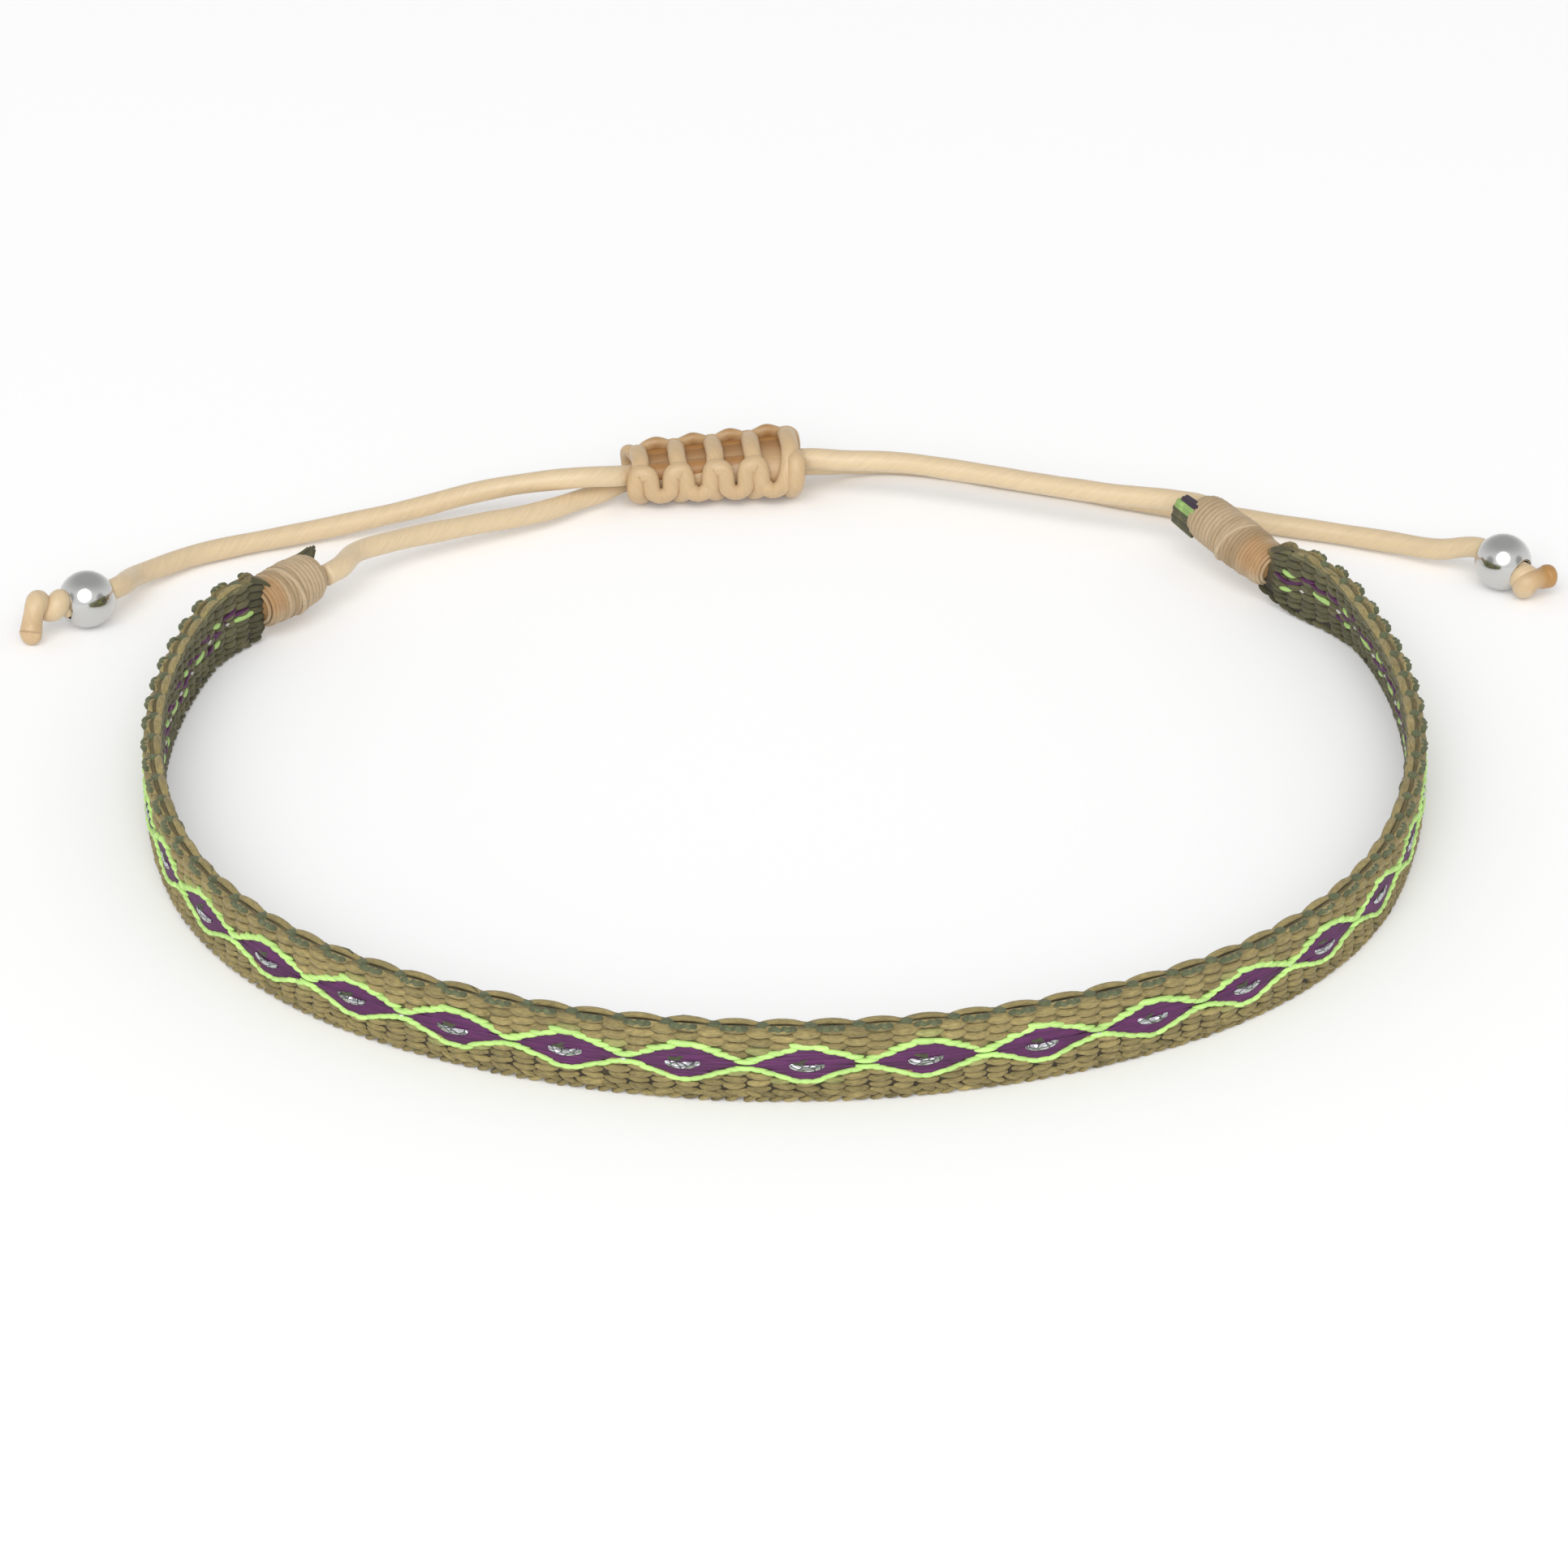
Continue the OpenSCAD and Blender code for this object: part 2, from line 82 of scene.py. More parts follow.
# %% [markdown]
# ## Materials with arithmetic on sockets
# A thread's finish is worked out from its place along and across the thread: fibres are noise
# that is stretched along it. Shader maths is easier to read as sums than as a row of nodes, so
# one small class wraps a socket and lets Python's operators add the Math nodes. A second class
# holds a material and has one method for every other node.

# %% Sockets that add up
class Value:
    """A number or colour socket of a material."""

    def __init__(self, finish, socket):
        self.finish = finish
        self.socket = socket

    def math(self, operation, a, b):
        return self.finish.node("ShaderNodeMath", {"operation": operation}, {0: a, 1: b})

    def __add__(self, other):
        return self.math("ADD", self, other)

    def __sub__(self, other):
        return self.math("SUBTRACT", self, other)

    def __rsub__(self, other):
        return self.math("SUBTRACT", other, self)

    def __mul__(self, other):
        return self.math("MULTIPLY", self, other)

    __radd__ = __add__
    __rmul__ = __mul__

    def between(self, low, high):
        """Smooth step from 0 at low to 1 at high."""
        return self.finish.node("ShaderNodeMapRange", {"interpolation_type": "SMOOTHSTEP"},
                                {"Value": self, "From Min": low, "From Max": high})


class Finish:
    """A material with one Principled shader, whose plain values are given by name."""

    def __init__(self, name, **plain):
        self.material = bpy.data.materials.new(name)
        self.material.use_nodes = True
        self.nodes = self.material.node_tree.nodes
        self.shader = self.nodes["Principled BSDF"]
        for key, value in plain.items():
            self.shader.inputs[key.replace("_", " ")].default_value = value

    def node(self, kind, settings=None, inputs=None, output=0):
        """Any node: its settings first, then the values or links of its sockets."""
        made = self.nodes.new(kind)
        for key, value in (settings or {}).items():
            setattr(made, key, value)
        for key, value in (inputs or {}).items():
            self.feed(made.inputs[key], value)
        return Value(self, made.outputs[output])

    def feed(self, socket, value):
        if isinstance(value, Value):
            self.material.node_tree.links.new(value.socket, socket)
        else:
            socket.default_value = value

    def set(self, name, value):
        self.feed(self.shader.inputs[name], value)

    def attribute(self, name, output):
        return self.node("ShaderNodeAttribute", {"attribute_name": name}, output=output)

    def stretched(self, vector, scale):
        """The vector with each of its parts multiplied by its own scale."""
        return self.node("ShaderNodeVectorMath", {"operation": "MULTIPLY"}, {0: vector, 1: scale})

    def noise(self, vector, scale=1.0, detail=2.0):
        return self.node("ShaderNodeTexNoise", {},
                         {"Vector": vector, "Scale": scale, "Detail": detail})

    def dimmed(self, colour, share):
        """A colour times a number."""
        return self.node("ShaderNodeVectorMath", {"operation": "SCALE"},
                         {"Vector": colour, "Scale": share})

    def bumped(self, height, distance):
        """Relief of a height that is given as a share of a distance in metres."""
        self.set("Normal", self.node("ShaderNodeBump", {}, {
            "Height": height, "Distance": distance, "Strength": 1.0}))


# %% [markdown]
# ## Thread finishes
# All yarns are the same idea with other numbers: how many fibres show for each millimetre across
# the yarn, how much they darken it, how deep they are, and how glossy the yarn is. Olive cotton
# is matt and fuzzy. The purple floats are silky, and the waxed cord has a soft satin shine.

# %% Yarns and cords
def thread_finish(name, fibre, contrast, relief, length_share=0.16, **plain):
    """Fibres are noise that is stretched along the yarn. They change the tint by the contrast
    and give a relief in mm, and a slow noise makes lighter and darker places."""
    finish = Finish(name, **plain)
    yarn = finish.attribute("yarn", 1)
    fibres = finish.noise(finish.stretched(yarn, (fibre * length_share, fibre, fibre)))
    lumps = finish.noise(finish.stretched(yarn, (1.6, 2.5, 2.5)))
    share = 1 + contrast * (fibres - 0.5) + 0.5 * contrast * (lumps - 0.5)
    finish.set("Base Color", finish.dimmed(finish.attribute("tint", 0), share))
    finish.bumped(fibres, relief * MM)
    return finish.material


cotton = thread_finish("olive_cotton", fibre=20, contrast=1.4, relief=0.06,
                       Roughness=0.85, Sheen_Weight=0.12, Sheen_Roughness=0.5)
silky = thread_finish("silky_floats", fibre=14, contrast=1.3, relief=0.04, length_share=0.06,
                      Roughness=0.6)
neon = thread_finish("neon_floats", fibre=20, contrast=0.3, relief=0.025, Roughness=0.6)
waxed = thread_finish("waxed_cord", fibre=7, contrast=0.22, relief=0.02, length_share=0.1,
                      Roughness=0.42, Sheen_Weight=0.1, Coat_Weight=0.15, Coat_Roughness=0.35)
wound = thread_finish("wound_thread", fibre=12, contrast=0.4, relief=0.02,
                      Roughness=0.6, Sheen_Weight=0.1)

# %% [markdown]
# ## Colours
# Colours are written as the photograph shows them, from 0 to 255, and turned into the linear
# light values that a renderer works with.

# %% Colours of the threads
def seen(red, green, blue):
    """Linear colour for one that is seen on screen: ((c + 0.055) / 1.055) ^ 2.4."""
    c = np.array([red, green, blue]) / 255
    return np.where(c < 0.04045, c / 12.92, ((c + 0.055) / 1.055) ** 2.4)


OLIVE = seen(147, 132, 85)
# The inner face's olive is a darker copy of the olive: painted shade of the loop
OLIVE_INSIDE_SHADED = seen(94, 90, 60)
# Dark of the slits between stitches: painted shade
GAP_SHADE = seen(40, 30, 16)
GREEN = seen(188, 228, 132)
PURPLE = seen(86, 30, 82)
WEFT = seen(92, 98, 68)
# White of tiny bits of metal strip: their painted glint
SPECK_GLINT = seen(225, 222, 215)
CORD = seen(213, 190, 153)
# Cord colour for the knot's inside: painted shade, used for the cords, body, back cord and gaps of the
# knot
CORD_SHADED_IN_KNOT = seen(160, 114, 60)
KNOT_CORD = seen(198, 169, 128)
TIP_CORD = seen(172, 128, 70)
PALE_THREAD = seen(186, 164, 132)
TAN_THREAD = seen(152, 126, 90)
WARM_THREAD = seen(170, 130, 84)

# %% [markdown]
# ## Putting arrays into meshes
# A shape is kept as a small dictionary of arrays until it becomes a Blender mesh: its points,
# its four-sided and three-sided faces, and two things that the materials read. "yarn" holds
# each point's place within its own thread in millimetres, so the fibres follow the thread, and
# "tint" is the thread's colour. Point attributes carry both, because unlike a UV map they have
# no seam round a closed thread.

# %% Meshes from arrays
def joined(shapes):
    """One shape out of many; the faces of each count on from the points of those before it."""
    starts = np.cumsum([0] + [len(s["points"]) for s in shapes[:-1]])
    out = {key: np.concatenate([s[key] for s in shapes]) for key in ("points", "yarn", "tint")}
    for key in ("quads", "tris"):
        out[key] = np.concatenate([s[key] + start for s, start in zip(shapes, starts)])
    return out


def tinted(shape, colour):
    """The shape with one colour, or with a row of colours, one for each point."""
    shape["tint"] = np.broadcast_to(np.asarray(colour, float), shape["points"].shape).copy()
    return shape


def volume(shape):
    """Sum over all triangles of a . (b x c) / 6, which is positive if the faces point outwards."""
    q, t = shape["points"][shape["quads"]], shape["points"][shape["tris"]]
    corners = np.concatenate([q[:, [0, 1, 2]], q[:, [0, 2, 3]], t])
    return np.einsum("ij,ij->", corners[:, 0], np.cross(corners[:, 1], corners[:, 2])) / 6


def add_piece(name, shape, material, replaces=()):
    """A smooth mesh object from a shape in mm. It rides on the one body of the bracelet."""
    mesh = bpy.data.meshes.new(name)
    faces = shape["quads"].tolist() + shape["tris"].tolist()
    mesh.from_pydata((shape["points"] * MM).tolist(), [], faces)
    mesh.polygons.foreach_set("use_smooth", np.ones(len(faces), bool))
    yarn = mesh.attributes.new("yarn", "FLOAT_VECTOR", "POINT")
    yarn.data.foreach_set("vector", shape["yarn"].astype(np.float32).ravel())
    tint = mesh.attributes.new("tint", "FLOAT_COLOR", "POINT")
    rgba = np.concatenate([shape["tint"], np.ones((len(shape["tint"]), 1))], axis=1)
    tint.data.foreach_set("color", rgba.astype(np.float32).ravel())
    mesh.materials.append(material)
    piece = bpy.data.objects.new(name, mesh)
    bpy.context.scene.collection.objects.link(piece)
    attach(piece, "root")
    if replaces:
        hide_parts(*replaces)
    print(name, "has", 2 * len(shape["quads"]) + len(shape["tris"]), "triangles and a volume of",
          round(volume(shape), 2), "cubic mm")
    return piece


# %% [markdown]
# ## A profile carried along a path
# Cords, wound thread and the strands of the knots are all one thing: a small round or flattened
# section carried along a curve. The curve goes smoothly through a few chosen points, as a limp
# cord does. A guide direction keeps the section from spinning: upwards for a cord that lies
# down, and away from the axis for a strand that goes round something.

# %% Smooth paths and tubes
def unit(v):
    return v / np.linalg.norm(v, axis=-1, keepdims=True)


def smooth_path(points, spacing):
    """Curve through the points. Between two of them it is the cubic that has their places and
    the slopes of the parabolas through their neighbours, at even steps of about the spacing."""
    p = np.asarray(points, float)
    at = np.concatenate([[0], np.cumsum(np.linalg.norm(np.diff(p, axis=0), axis=1))])
    slope = np.gradient(p, at, axis=0)
    s = np.linspace(0, at[-1], int(at[-1] / spacing) + 2)
    i = np.clip(np.searchsorted(at, s, side="right") - 1, 0, len(p) - 2)
    gap = (at[i + 1] - at[i])[:, None]
    x = (s - at[i])[:, None] / gap
    return ((1 + 2 * x) * (1 - x) ** 2 * p[i] + x * (1 - x) ** 2 * gap * slope[i]
            + x * x * (3 - 2 * x) * p[i + 1] + x * x * (x - 1) * gap * slope[i + 1])


def path_length(path):
    return np.linalg.norm(np.diff(path, axis=0), axis=1).sum()


def ring_quads(rows, cols, looped=False):
    """Quads between neighbouring rings, and from the last ring to the first if it is looped."""
    j = np.arange(cols)
    nxt = (j + 1) % cols
    ring = np.arange(rows if looped else rows - 1)[:, None]
    here, there = cols * ring, cols * ((ring + 1) % rows)
    return np.stack([here + j, here + nxt, there + nxt, there + j], -1).reshape(-1, 4)


def end_fans(cols, first, start, last, end):
    """Triangles from the first pole to the ring whose points begin at start, and from the last
    pole to the ring whose points begin at end."""
    j = np.arange(cols)
    nxt = (j + 1) % cols
    return np.concatenate([np.stack([np.full(cols, first), start + nxt, start + j], -1),
                           np.stack([np.full(cols, last), end + j, end + nxt], -1)])


def closed_grid(points, yarn):
    """Shape of a grid of rings: neighbours make quads, and a fan closes each end."""
    rows, cols = points.shape[:2]
    tris = end_fans(cols, rows * cols, 0, rows * cols + 1, cols * (rows - 1))
    points, yarn = [np.concatenate([g.reshape(-1, 3), [g[0].mean(0)], [g[-1].mean(0)]])
                    for g in (points, yarn)]
    return dict(points=points, yarn=yarn, quads=ring_quads(rows, cols), tris=tris,
                tint=np.ones_like(points))


def tube(path, high, wide, guide, sides, twist=0.0):
    """Ellipse carried along the path. Its half height lies along the guide, made square to the
    path, and its half width along their cross product. The yarn coordinates turn round the
    tube by twist radians for each mm, so the fibres run in a spiral."""
    ahead = unit(np.gradient(path, axis=0))
    across = unit(np.cross(ahead, guide))
    upward = np.cross(across, ahead)
    high, wide = [np.broadcast_to(x, len(path))[:, None] for x in (high, wide)]
    angle = 2 * np.pi * np.arange(sides) / sides
    points = (path[:, None] + (high * np.cos(angle))[..., None] * upward[:, None]
              + (wide * np.sin(angle))[..., None] * across[:, None])
    steps = np.linalg.norm(np.diff(path, axis=0), axis=1)
    s = np.concatenate([[0], np.cumsum(steps)])[:, None]
    turned = angle + twist * s
    size = (high + wide) / 2
    yarn = np.stack([s + 0 * turned, size * np.cos(turned), size * np.sin(turned)], -1)
    return closed_grid(points, yarn)


# %% [markdown]
# ## The two cords
# Each waxed cord is tucked under a wrap, runs through the sliding knot and ends beyond a steel
# bead on the other side. The route's points are those of the CAD model. In the photograph the
# cords lie on the table, apart from a low rise at the wraps, the knot and the beads. The whole
# of each cord is shown, so its length is the length of its path.

# %% Routes of the cords
CORD_R = 0.57
CORD_STEP = 0.25
# Where the sliding knot hides the cords: the middle's x and half the length along x
HIDDEN_MIDDLE, HIDDEN_HALF = -3.8, 4.9
LEFT_MOUTH = [-23.478, 16.824, 2.161]
RIGHT_MOUTH = [22.722, 22.381, 2.903]
LEFT_CORD = [
    [-23.289, 17.057, 2.171], [-22.4, 19.5, 2], [-20.8, 21.1, 1.8], [-19.2, 22.4, 1.6],
    [-17.5, 23.5, 1.45], [-15.8, 24.6, 1.3], [-14.1, 25.7, 1.1], [-12.4, 27, 0.95],
    [-10.8, 28.5, 0.85], [-9.9, 29.2, 0.85], [-8.663, 30.207, 1.014], [-6.07, 30.57, 1.12],
    [-3.81, 30.89, 1.2], [-1.54, 31.21, 1.29], [0.738, 31.528, 1.376], [1.035, 31.57, 1.387],
    [2.3, 32.2, 1.1], [3.6, 33, 0.8], [5.2, 33.4, 0.65], [7, 33.3, 0.62], [9, 32.7, 0.62],
    [12.1, 31.5, 0.62], [15.5, 30.2, 0.62], [19, 28.7, 0.62], [22.4, 27.3, 0.62],
    [25.8, 25.9, 0.62], [29.1, 24.7, 0.64], [32.2, 23.3, 0.75], [34.6, 21.8, 1.05],
    [36.459, 20.635, 1.719], [38.673, 18.342, 1.328]]
RIGHT_CORD = [
    [22.545, 22.617, 2.955], [20.7, 24.05, 2.85], [19, 24.75, 2.7], [17.2, 25.4, 2.6],
    [15.4, 26.1, 2.55], [13.7, 26.8, 2.5], [12, 27.5, 2.5], [10.2, 28.2, 2.5],
    [8.5, 28.8, 2.5], [6.8, 29.4, 2.5], [5, 29.9, 2.4], [3.2, 30.2, 2.3],
    [1.175, 30.569, 2.236], [-1.4, 30.2, 2.14], [-3.67, 29.89, 2.05], [-5.95, 29.57, 1.96],
    [-8.225, 29.247, 1.874], [-8.522, 29.206, 1.863], [-9.4, 28.5, 2.15], [-10.5, 28.1, 2.3],
    [-11.6, 27.9, 2.3], [-13.3, 27.9, 2.1], [-15.1, 27.8, 1.85], [-16.8, 27.5, 1.6],
    [-19.4, 26.6, 1.25], [-22.8, 25.5, 0.9], [-26.2, 24.3, 0.68], [-29.4, 22.9, 0.64],
    [-31.2, 21.8, 0.68], [-32.7, 20.3, 0.8], [-34, 18.4, 1.1], [-34.585, 15.897, 1.719],
    [-37.288, 14.208, 1.328]]


# %% Make the cords, and work out their free paths
def add_cord(name, mouth, route, replaces):
    """The cord starts a little inside its wrap. Its section is nearly round and grows and
    shrinks by a few hundredths of a millimetre, as a waxed cord does where it was held."""
    mouth, after = np.array(mouth), np.array(route[0])
    inside = mouth - 2 * (after - mouth)
    path = smooth_path([inside, mouth, after] + route[1:], CORD_STEP)
    s = np.linspace(0, path_length(path), len(path))
    size = CORD_R + 0.018 * np.sin(1.3 * s) * np.sin(0.41 * s + 1)
    shape = tube(path, size - 0.015, size + 0.015, (0, 0, 1), sides=16, twist=1.5)
    # Inside the sliding knot the cord is painted a darker orange, as the shade of the knot round it
    beside = np.abs(shape["points"][:, :1] - HIDDEN_MIDDLE)
    shade_in_knot = np.clip((HIDDEN_HALF - beside) / 0.8, 0, 1)
    shape = tinted(shape, CORD + shade_in_knot * (CORD_SHADED_IN_KNOT - CORD))
    return add_piece(name, shape, waxed, replaces)


def declare_cord(mouth, route):
    """The free cord's path, from its wrap's mouth to its end knot, worked out in metres and not kept.
    """
    free = smooth_path([mouth] + route, CORD_STEP)
    free[0] * MM
    free * MM


left_cord = add_cord("left_cord", LEFT_MOUTH, LEFT_CORD, ["left_loop_cord", "right_tail_cord"])
right_cord = add_cord("right_cord", RIGHT_MOUTH, RIGHT_CORD, ["right_loop_cord", "left_tail_cord"])

# %% [markdown]
# ## Steel beads
# Each cord ends in a drilled ball of polished steel. Its mesh is a profile turned round the
# bore: most of a half circle, a small rounding at each mouth and the straight wall of the bore.
# The profile closes on itself, so the ball has a real hole and needs no poles. Polished steel
# shows what stands round it, so its colour is plain and only its gloss wanders, as finger marks
# do.

# %% Drilled balls
BEAD_R = 1.5
BORE_R = 0.63
MOUTH_ROUND = 0.1
BEAD_SIDES = 48
LEFT_BEAD = (np.array([-36.1, 14.95, 1.5]), unit(np.array([-0.8417, -0.526, -0.1219])))
RIGHT_BEAD = (np.array([37.7, 19.35, 1.5]), unit(np.array([0.6895, -0.714, -0.1219])))


def across_axis(axis):
    """The level direction square to an axis, and the one square to both."""
    level = unit(np.cross(axis, (0, 0, 1)))
    return level, np.cross(level, axis)


def bead_shape(middle, axis):
    """Profile of three arcs, turned round the axis. The ball's arc starts at the angle whose
    sine is (bore + rounding) / (ball - rounding), where the rounding touches ball and bore."""
    rim = BORE_R + MOUTH_ROUND
    start = np.arcsin(rim / (BEAD_R - MOUTH_ROUND))
    mouth = (BEAD_R - MOUTH_ROUND) * np.cos(start)
    profile = [(0, 0, BEAD_R, np.linspace(start, np.pi - start, 30)),
               (-mouth, rim, MOUTH_ROUND, np.linspace(np.pi - start, 1.5 * np.pi, 7)[1:]),
               (mouth, rim, MOUTH_ROUND, np.linspace(-np.pi / 2, start, 7)[:-1])]
    along = np.concatenate([a + r * np.cos(t) for a, _, r, t in profile])[:, None, None]
    out = np.concatenate([b + r * np.sin(t) for _, b, r, t in profile])[:, None, None]
    turn = 2 * np.pi * np.arange(BEAD_SIDES)[:, None] / BEAD_SIDES
    level, upward = across_axis(axis)
    points = along * axis - out * (np.cos(turn) * level + np.sin(turn) * upward)
    rows, cols = points.shape[:2]
    flat = points.reshape(-1, 3)
    return dict(points=flat + middle, yarn=flat, quads=ring_quads(rows, cols, looped=True),
                tris=np.zeros((0, 3), int), tint=np.ones_like(flat))


def steel_finish():
    finish = Finish("polished_steel", Metallic=1.0, Base_Color=(*seen(206, 206, 204), 1))
    place = finish.attribute("yarn", 1)
    finish.set("Roughness", 0.07 + 0.14 * finish.noise(place, 1.3, 3.0))
    finish.bumped(finish.noise(place, 9.0, 3.0), 0.002 * MM)
    return finish.material


steel = steel_finish()
left_bead = add_piece("left_steel_bead", bead_shape(*LEFT_BEAD), steel, ["left_bead"])
right_bead = add_piece("right_steel_bead", bead_shape(*RIGHT_BEAD), steel, ["right_bead"])

# %% [markdown]
# ## End knots
# Past its bead each cord is tied and cut off. The knot is one tube: out of the bore, a little
# more than once round itself, so tightly that its turns press into each other, and away as a
# short tip. The left tip is slightly wider at its cut, whose rim is rounded; the right one was
# melted into a round, darker end.

# %% Knots at the cords' ends
KNOT_TURNS = 1.3
TURN_R = 0.28
# The cord's radius at the tip, and how much wider it is where the turns press it
TIP_R = 0.52
TURNS_WIDER = 0.08
END_SIDES = 20


def end_knot_path(bead, axis, reach, heading, fall, run):
    """Spiral round an axis that ends in the tip's direction, then the tip: at a slope, and
    level for the rest of the run. The reach is how far the knot's middle is from the bead's.
    The spiral starts 1.38 mm from the bead's middle and ends 0.1 mm past the knot's."""
    middle = bead[0]
    level, upward = across_axis(axis)
    heading, fall = np.radians([heading, fall])
    flat = np.array([np.cos(heading), np.sin(heading), 0])
    tip = flat * np.cos(fall) - np.array([0, 0, np.sin(fall)])
    last = np.arctan2(-tip @ level, tip @ upward)
    share = np.linspace(0, 1, 13)[:, None]
    angle = last - 2 * np.pi * KNOT_TURNS * (1 - share)
    out = TURN_R * np.clip(0.2 + 4 * share, 0, 1)
    spiral = (middle + (1.38 + (reach - 1.28) * share) * axis
              + out * (np.cos(angle) * level + np.sin(angle) * upward))
    knot = middle + reach * axis
    down = knot + np.array([[1.05], [1.45]]) * tip
    level_run = down[1] + np.array(run).reshape(-1, 1) * flat
    return smooth_path(np.concatenate([spiral, down, level_run]), 0.06)


def end_knot(bead, axis, reach, heading, fall, run, end_size, rounding, tip_colour):
    """Tube along that path. Over the last millimetre its radius goes to the end size, and the
    very end is rounded off like a quarter circle."""
    path = end_knot_path(bead, unit(np.array(axis)), reach, heading, fall, run)
    s = np.linspace(0, path_length(path), len(path))
    left = s[-1] - s
    near_end = np.clip(1.2 - left, 0, 1)
    cap = np.sqrt(1 - (1 - np.clip((left + 0.02) / rounding, 0, 1)) ** 2)
    knot_size = TIP_R + TURNS_WIDER * np.clip((left - 1.4) / 0.6, 0, 1)
    size = knot_size * (1 + near_end * (end_size - 1)) * cap
    shape = tube(path, size, size, axis, sides=END_SIDES, twist=1.5)
    tone = np.repeat(np.clip(1.9 - left / 1.1, 0, 1), END_SIDES)[:, None]
    tone = np.concatenate([tone, [[0.0], [1.0]]])
    return tinted(shape, CORD + (0.15 + 0.85 * tone) * (tip_colour - CORD))


left_end = end_knot(LEFT_BEAD, (-0.84, -0.526, 0.1), 3.0, 256, 55, [0.22], 1.15, 0.3,
                    0.6 * CORD + 0.4 * TIP_CORD)
right_end = end_knot(RIGHT_BEAD, (0.62, -0.74, -0.3), 1.95, 26, -9, [0.2], 1.3, 0.55, TIP_CORD)
left_knot = add_piece("left_tied_end", left_end, waxed, ["left_end_knot"])
right_knot = add_piece("right_tied_end", right_end, waxed, ["right_end_knot"])
declare_cord(LEFT_MOUTH, LEFT_CORD)
declare_cord(RIGHT_MOUTH, RIGHT_CORD)

# %% [markdown]
# ## The loop's centre line
# The band stands on its lower edge, and seen from above its centre line is a row of arcs: the
# front, a shoulder, a side, a short bend and a straight end at the whipping. A spline could
# follow the same line, but arcs keep the band's length exact, and a stitch that is placed by its
# length along the band then has its true size everywhere. The left is the right in a mirror,
# with its own radii.

# %% Centre line of the band
LOOP_DEPTH = 66.7
BAND_W = 4.0
BAND_T = 1.0
FRONT_ARC = (35.0, 32.0)
SHOULDER_ARC = (24.7, 40.0)
SIDE_TURN = 33.0
LEFT = dict(mirror=-1, side_r=41.0, bend=(9.0, 24.0), end_len=1.6, lean=1.0, rise=2.0,
            wrap_r=1.13, wrap_len=4.1, wrap_back=0.35, tip_out=0.8)
RIGHT = dict(mirror=1, side_r=44.0, bend=(12.0, 22.0), end_len=3.8, lean=14.0, rise=10.0,
             wrap_r=1.04, wrap_len=5.8, wrap_back=0.1, tip_out=-0.67)


def arcs(side):
    """Radius and angle of each arc, from the front's middle to the whipping."""
    return [FRONT_ARC, SHOULDER_ARC, (side["side_r"], SIDE_TURN), side["bend"]]


def arc_lengths(side):
    return np.array([r * np.radians(turn) for r, turn in arcs(side)])


def centre_line(side, s):
    """Place and heading after a length s. Each arc adds the chord of the part of it that lies
    before s: r (sin(h + a) - sin h) sideways and r (cos h - cos(h + a)) to the back, where h is
    the heading so far and a is the angle of that part."""
    x = np.zeros_like(s)
    y = x - (LOOP_DEPTH - BAND_T) / 2
    heading = np.zeros_like(s)
    start = 0.0
    for (r, _), length in zip(arcs(side), arc_lengths(side)):
        a = np.clip(s - start, 0, length) / r
        x = x + r * (np.sin(heading + a) - np.sin(heading))
        y = y + r * (np.cos(heading) - np.cos(heading + a))
        heading = heading + a
        start += length
    beyond = np.maximum(s - start, 0)
    return x + beyond * np.cos(heading), y + beyond * np.sin(heading), heading


def band_length(side):
    return arc_lengths(side).sum() + side["end_len"]


print("half lengths of the band in mm:", round(band_length(LEFT), 2), round(band_length(RIGHT), 2))

# %% [markdown]
# ## A place on the band
# Every stitch is placed by three numbers: u, the length along the band from the front's middle;
# v, the height above its lower edge; and d, the distance outwards from the middle of its
# thickness. One function turns whole arrays of them into points. It also carries the band's
# lean towards the wrist and the way it narrows and thickens where it is gathered, so no stitch
# has to know about either.

# %% From band coordinates to points
# Places as shares of the side's arc, of the bend and of the straight end, each with the share
# of the full lean there
LEAN_ON_SIDE = ([0.15, 0.30, 0.42, 0.54, 0.66, 0.78, 0.90, 1.0],
                [0.0, 0.05, 0.15, 0.32, 0.55, 0.80, 0.95, 1.0])
LEAN_ON_BEND = ([0.35, 0.70], [0.85, 0.55])
LEAN_AT_END = ([0, 0.4], [0.25, 0])
# Places as shares of the straight end, with the shares of the width and of the thickness
GATHER_SHARES = ([0.2, 0.4, 0.7, 0.9, 1.0], [1.0, 0.96, 0.86, 0.70, 0.58],
                 [1.0, 1.05, 1.2, 1.5, 1.7])


def lean_and_gather(side, s):
    """Lean in radians, share of the width and share of the thickness after a length s."""
    lengths = arc_lengths(side)
    to_side, to_bend, to_end = lengths[:2].sum(), lengths[:3].sum(), lengths.sum()
    places = np.concatenate([to_side + lengths[2] * np.array(LEAN_ON_SIDE[0]),
                             to_bend + lengths[3] * np.array(LEAN_ON_BEND[0]),
                             to_end + side["end_len"] * np.array(LEAN_AT_END[0])])
    values = LEAN_ON_SIDE[1] + LEAN_ON_BEND[1] + LEAN_AT_END[1]
    lean = np.interp(s, places, values) * np.radians(side["lean"])
    gather = to_end + side["end_len"] * np.array(GATHER_SHARES[0])
    return lean, np.interp(s, gather, GATHER_SHARES[1]), np.interp(s, gather, GATHER_SHARES[2])


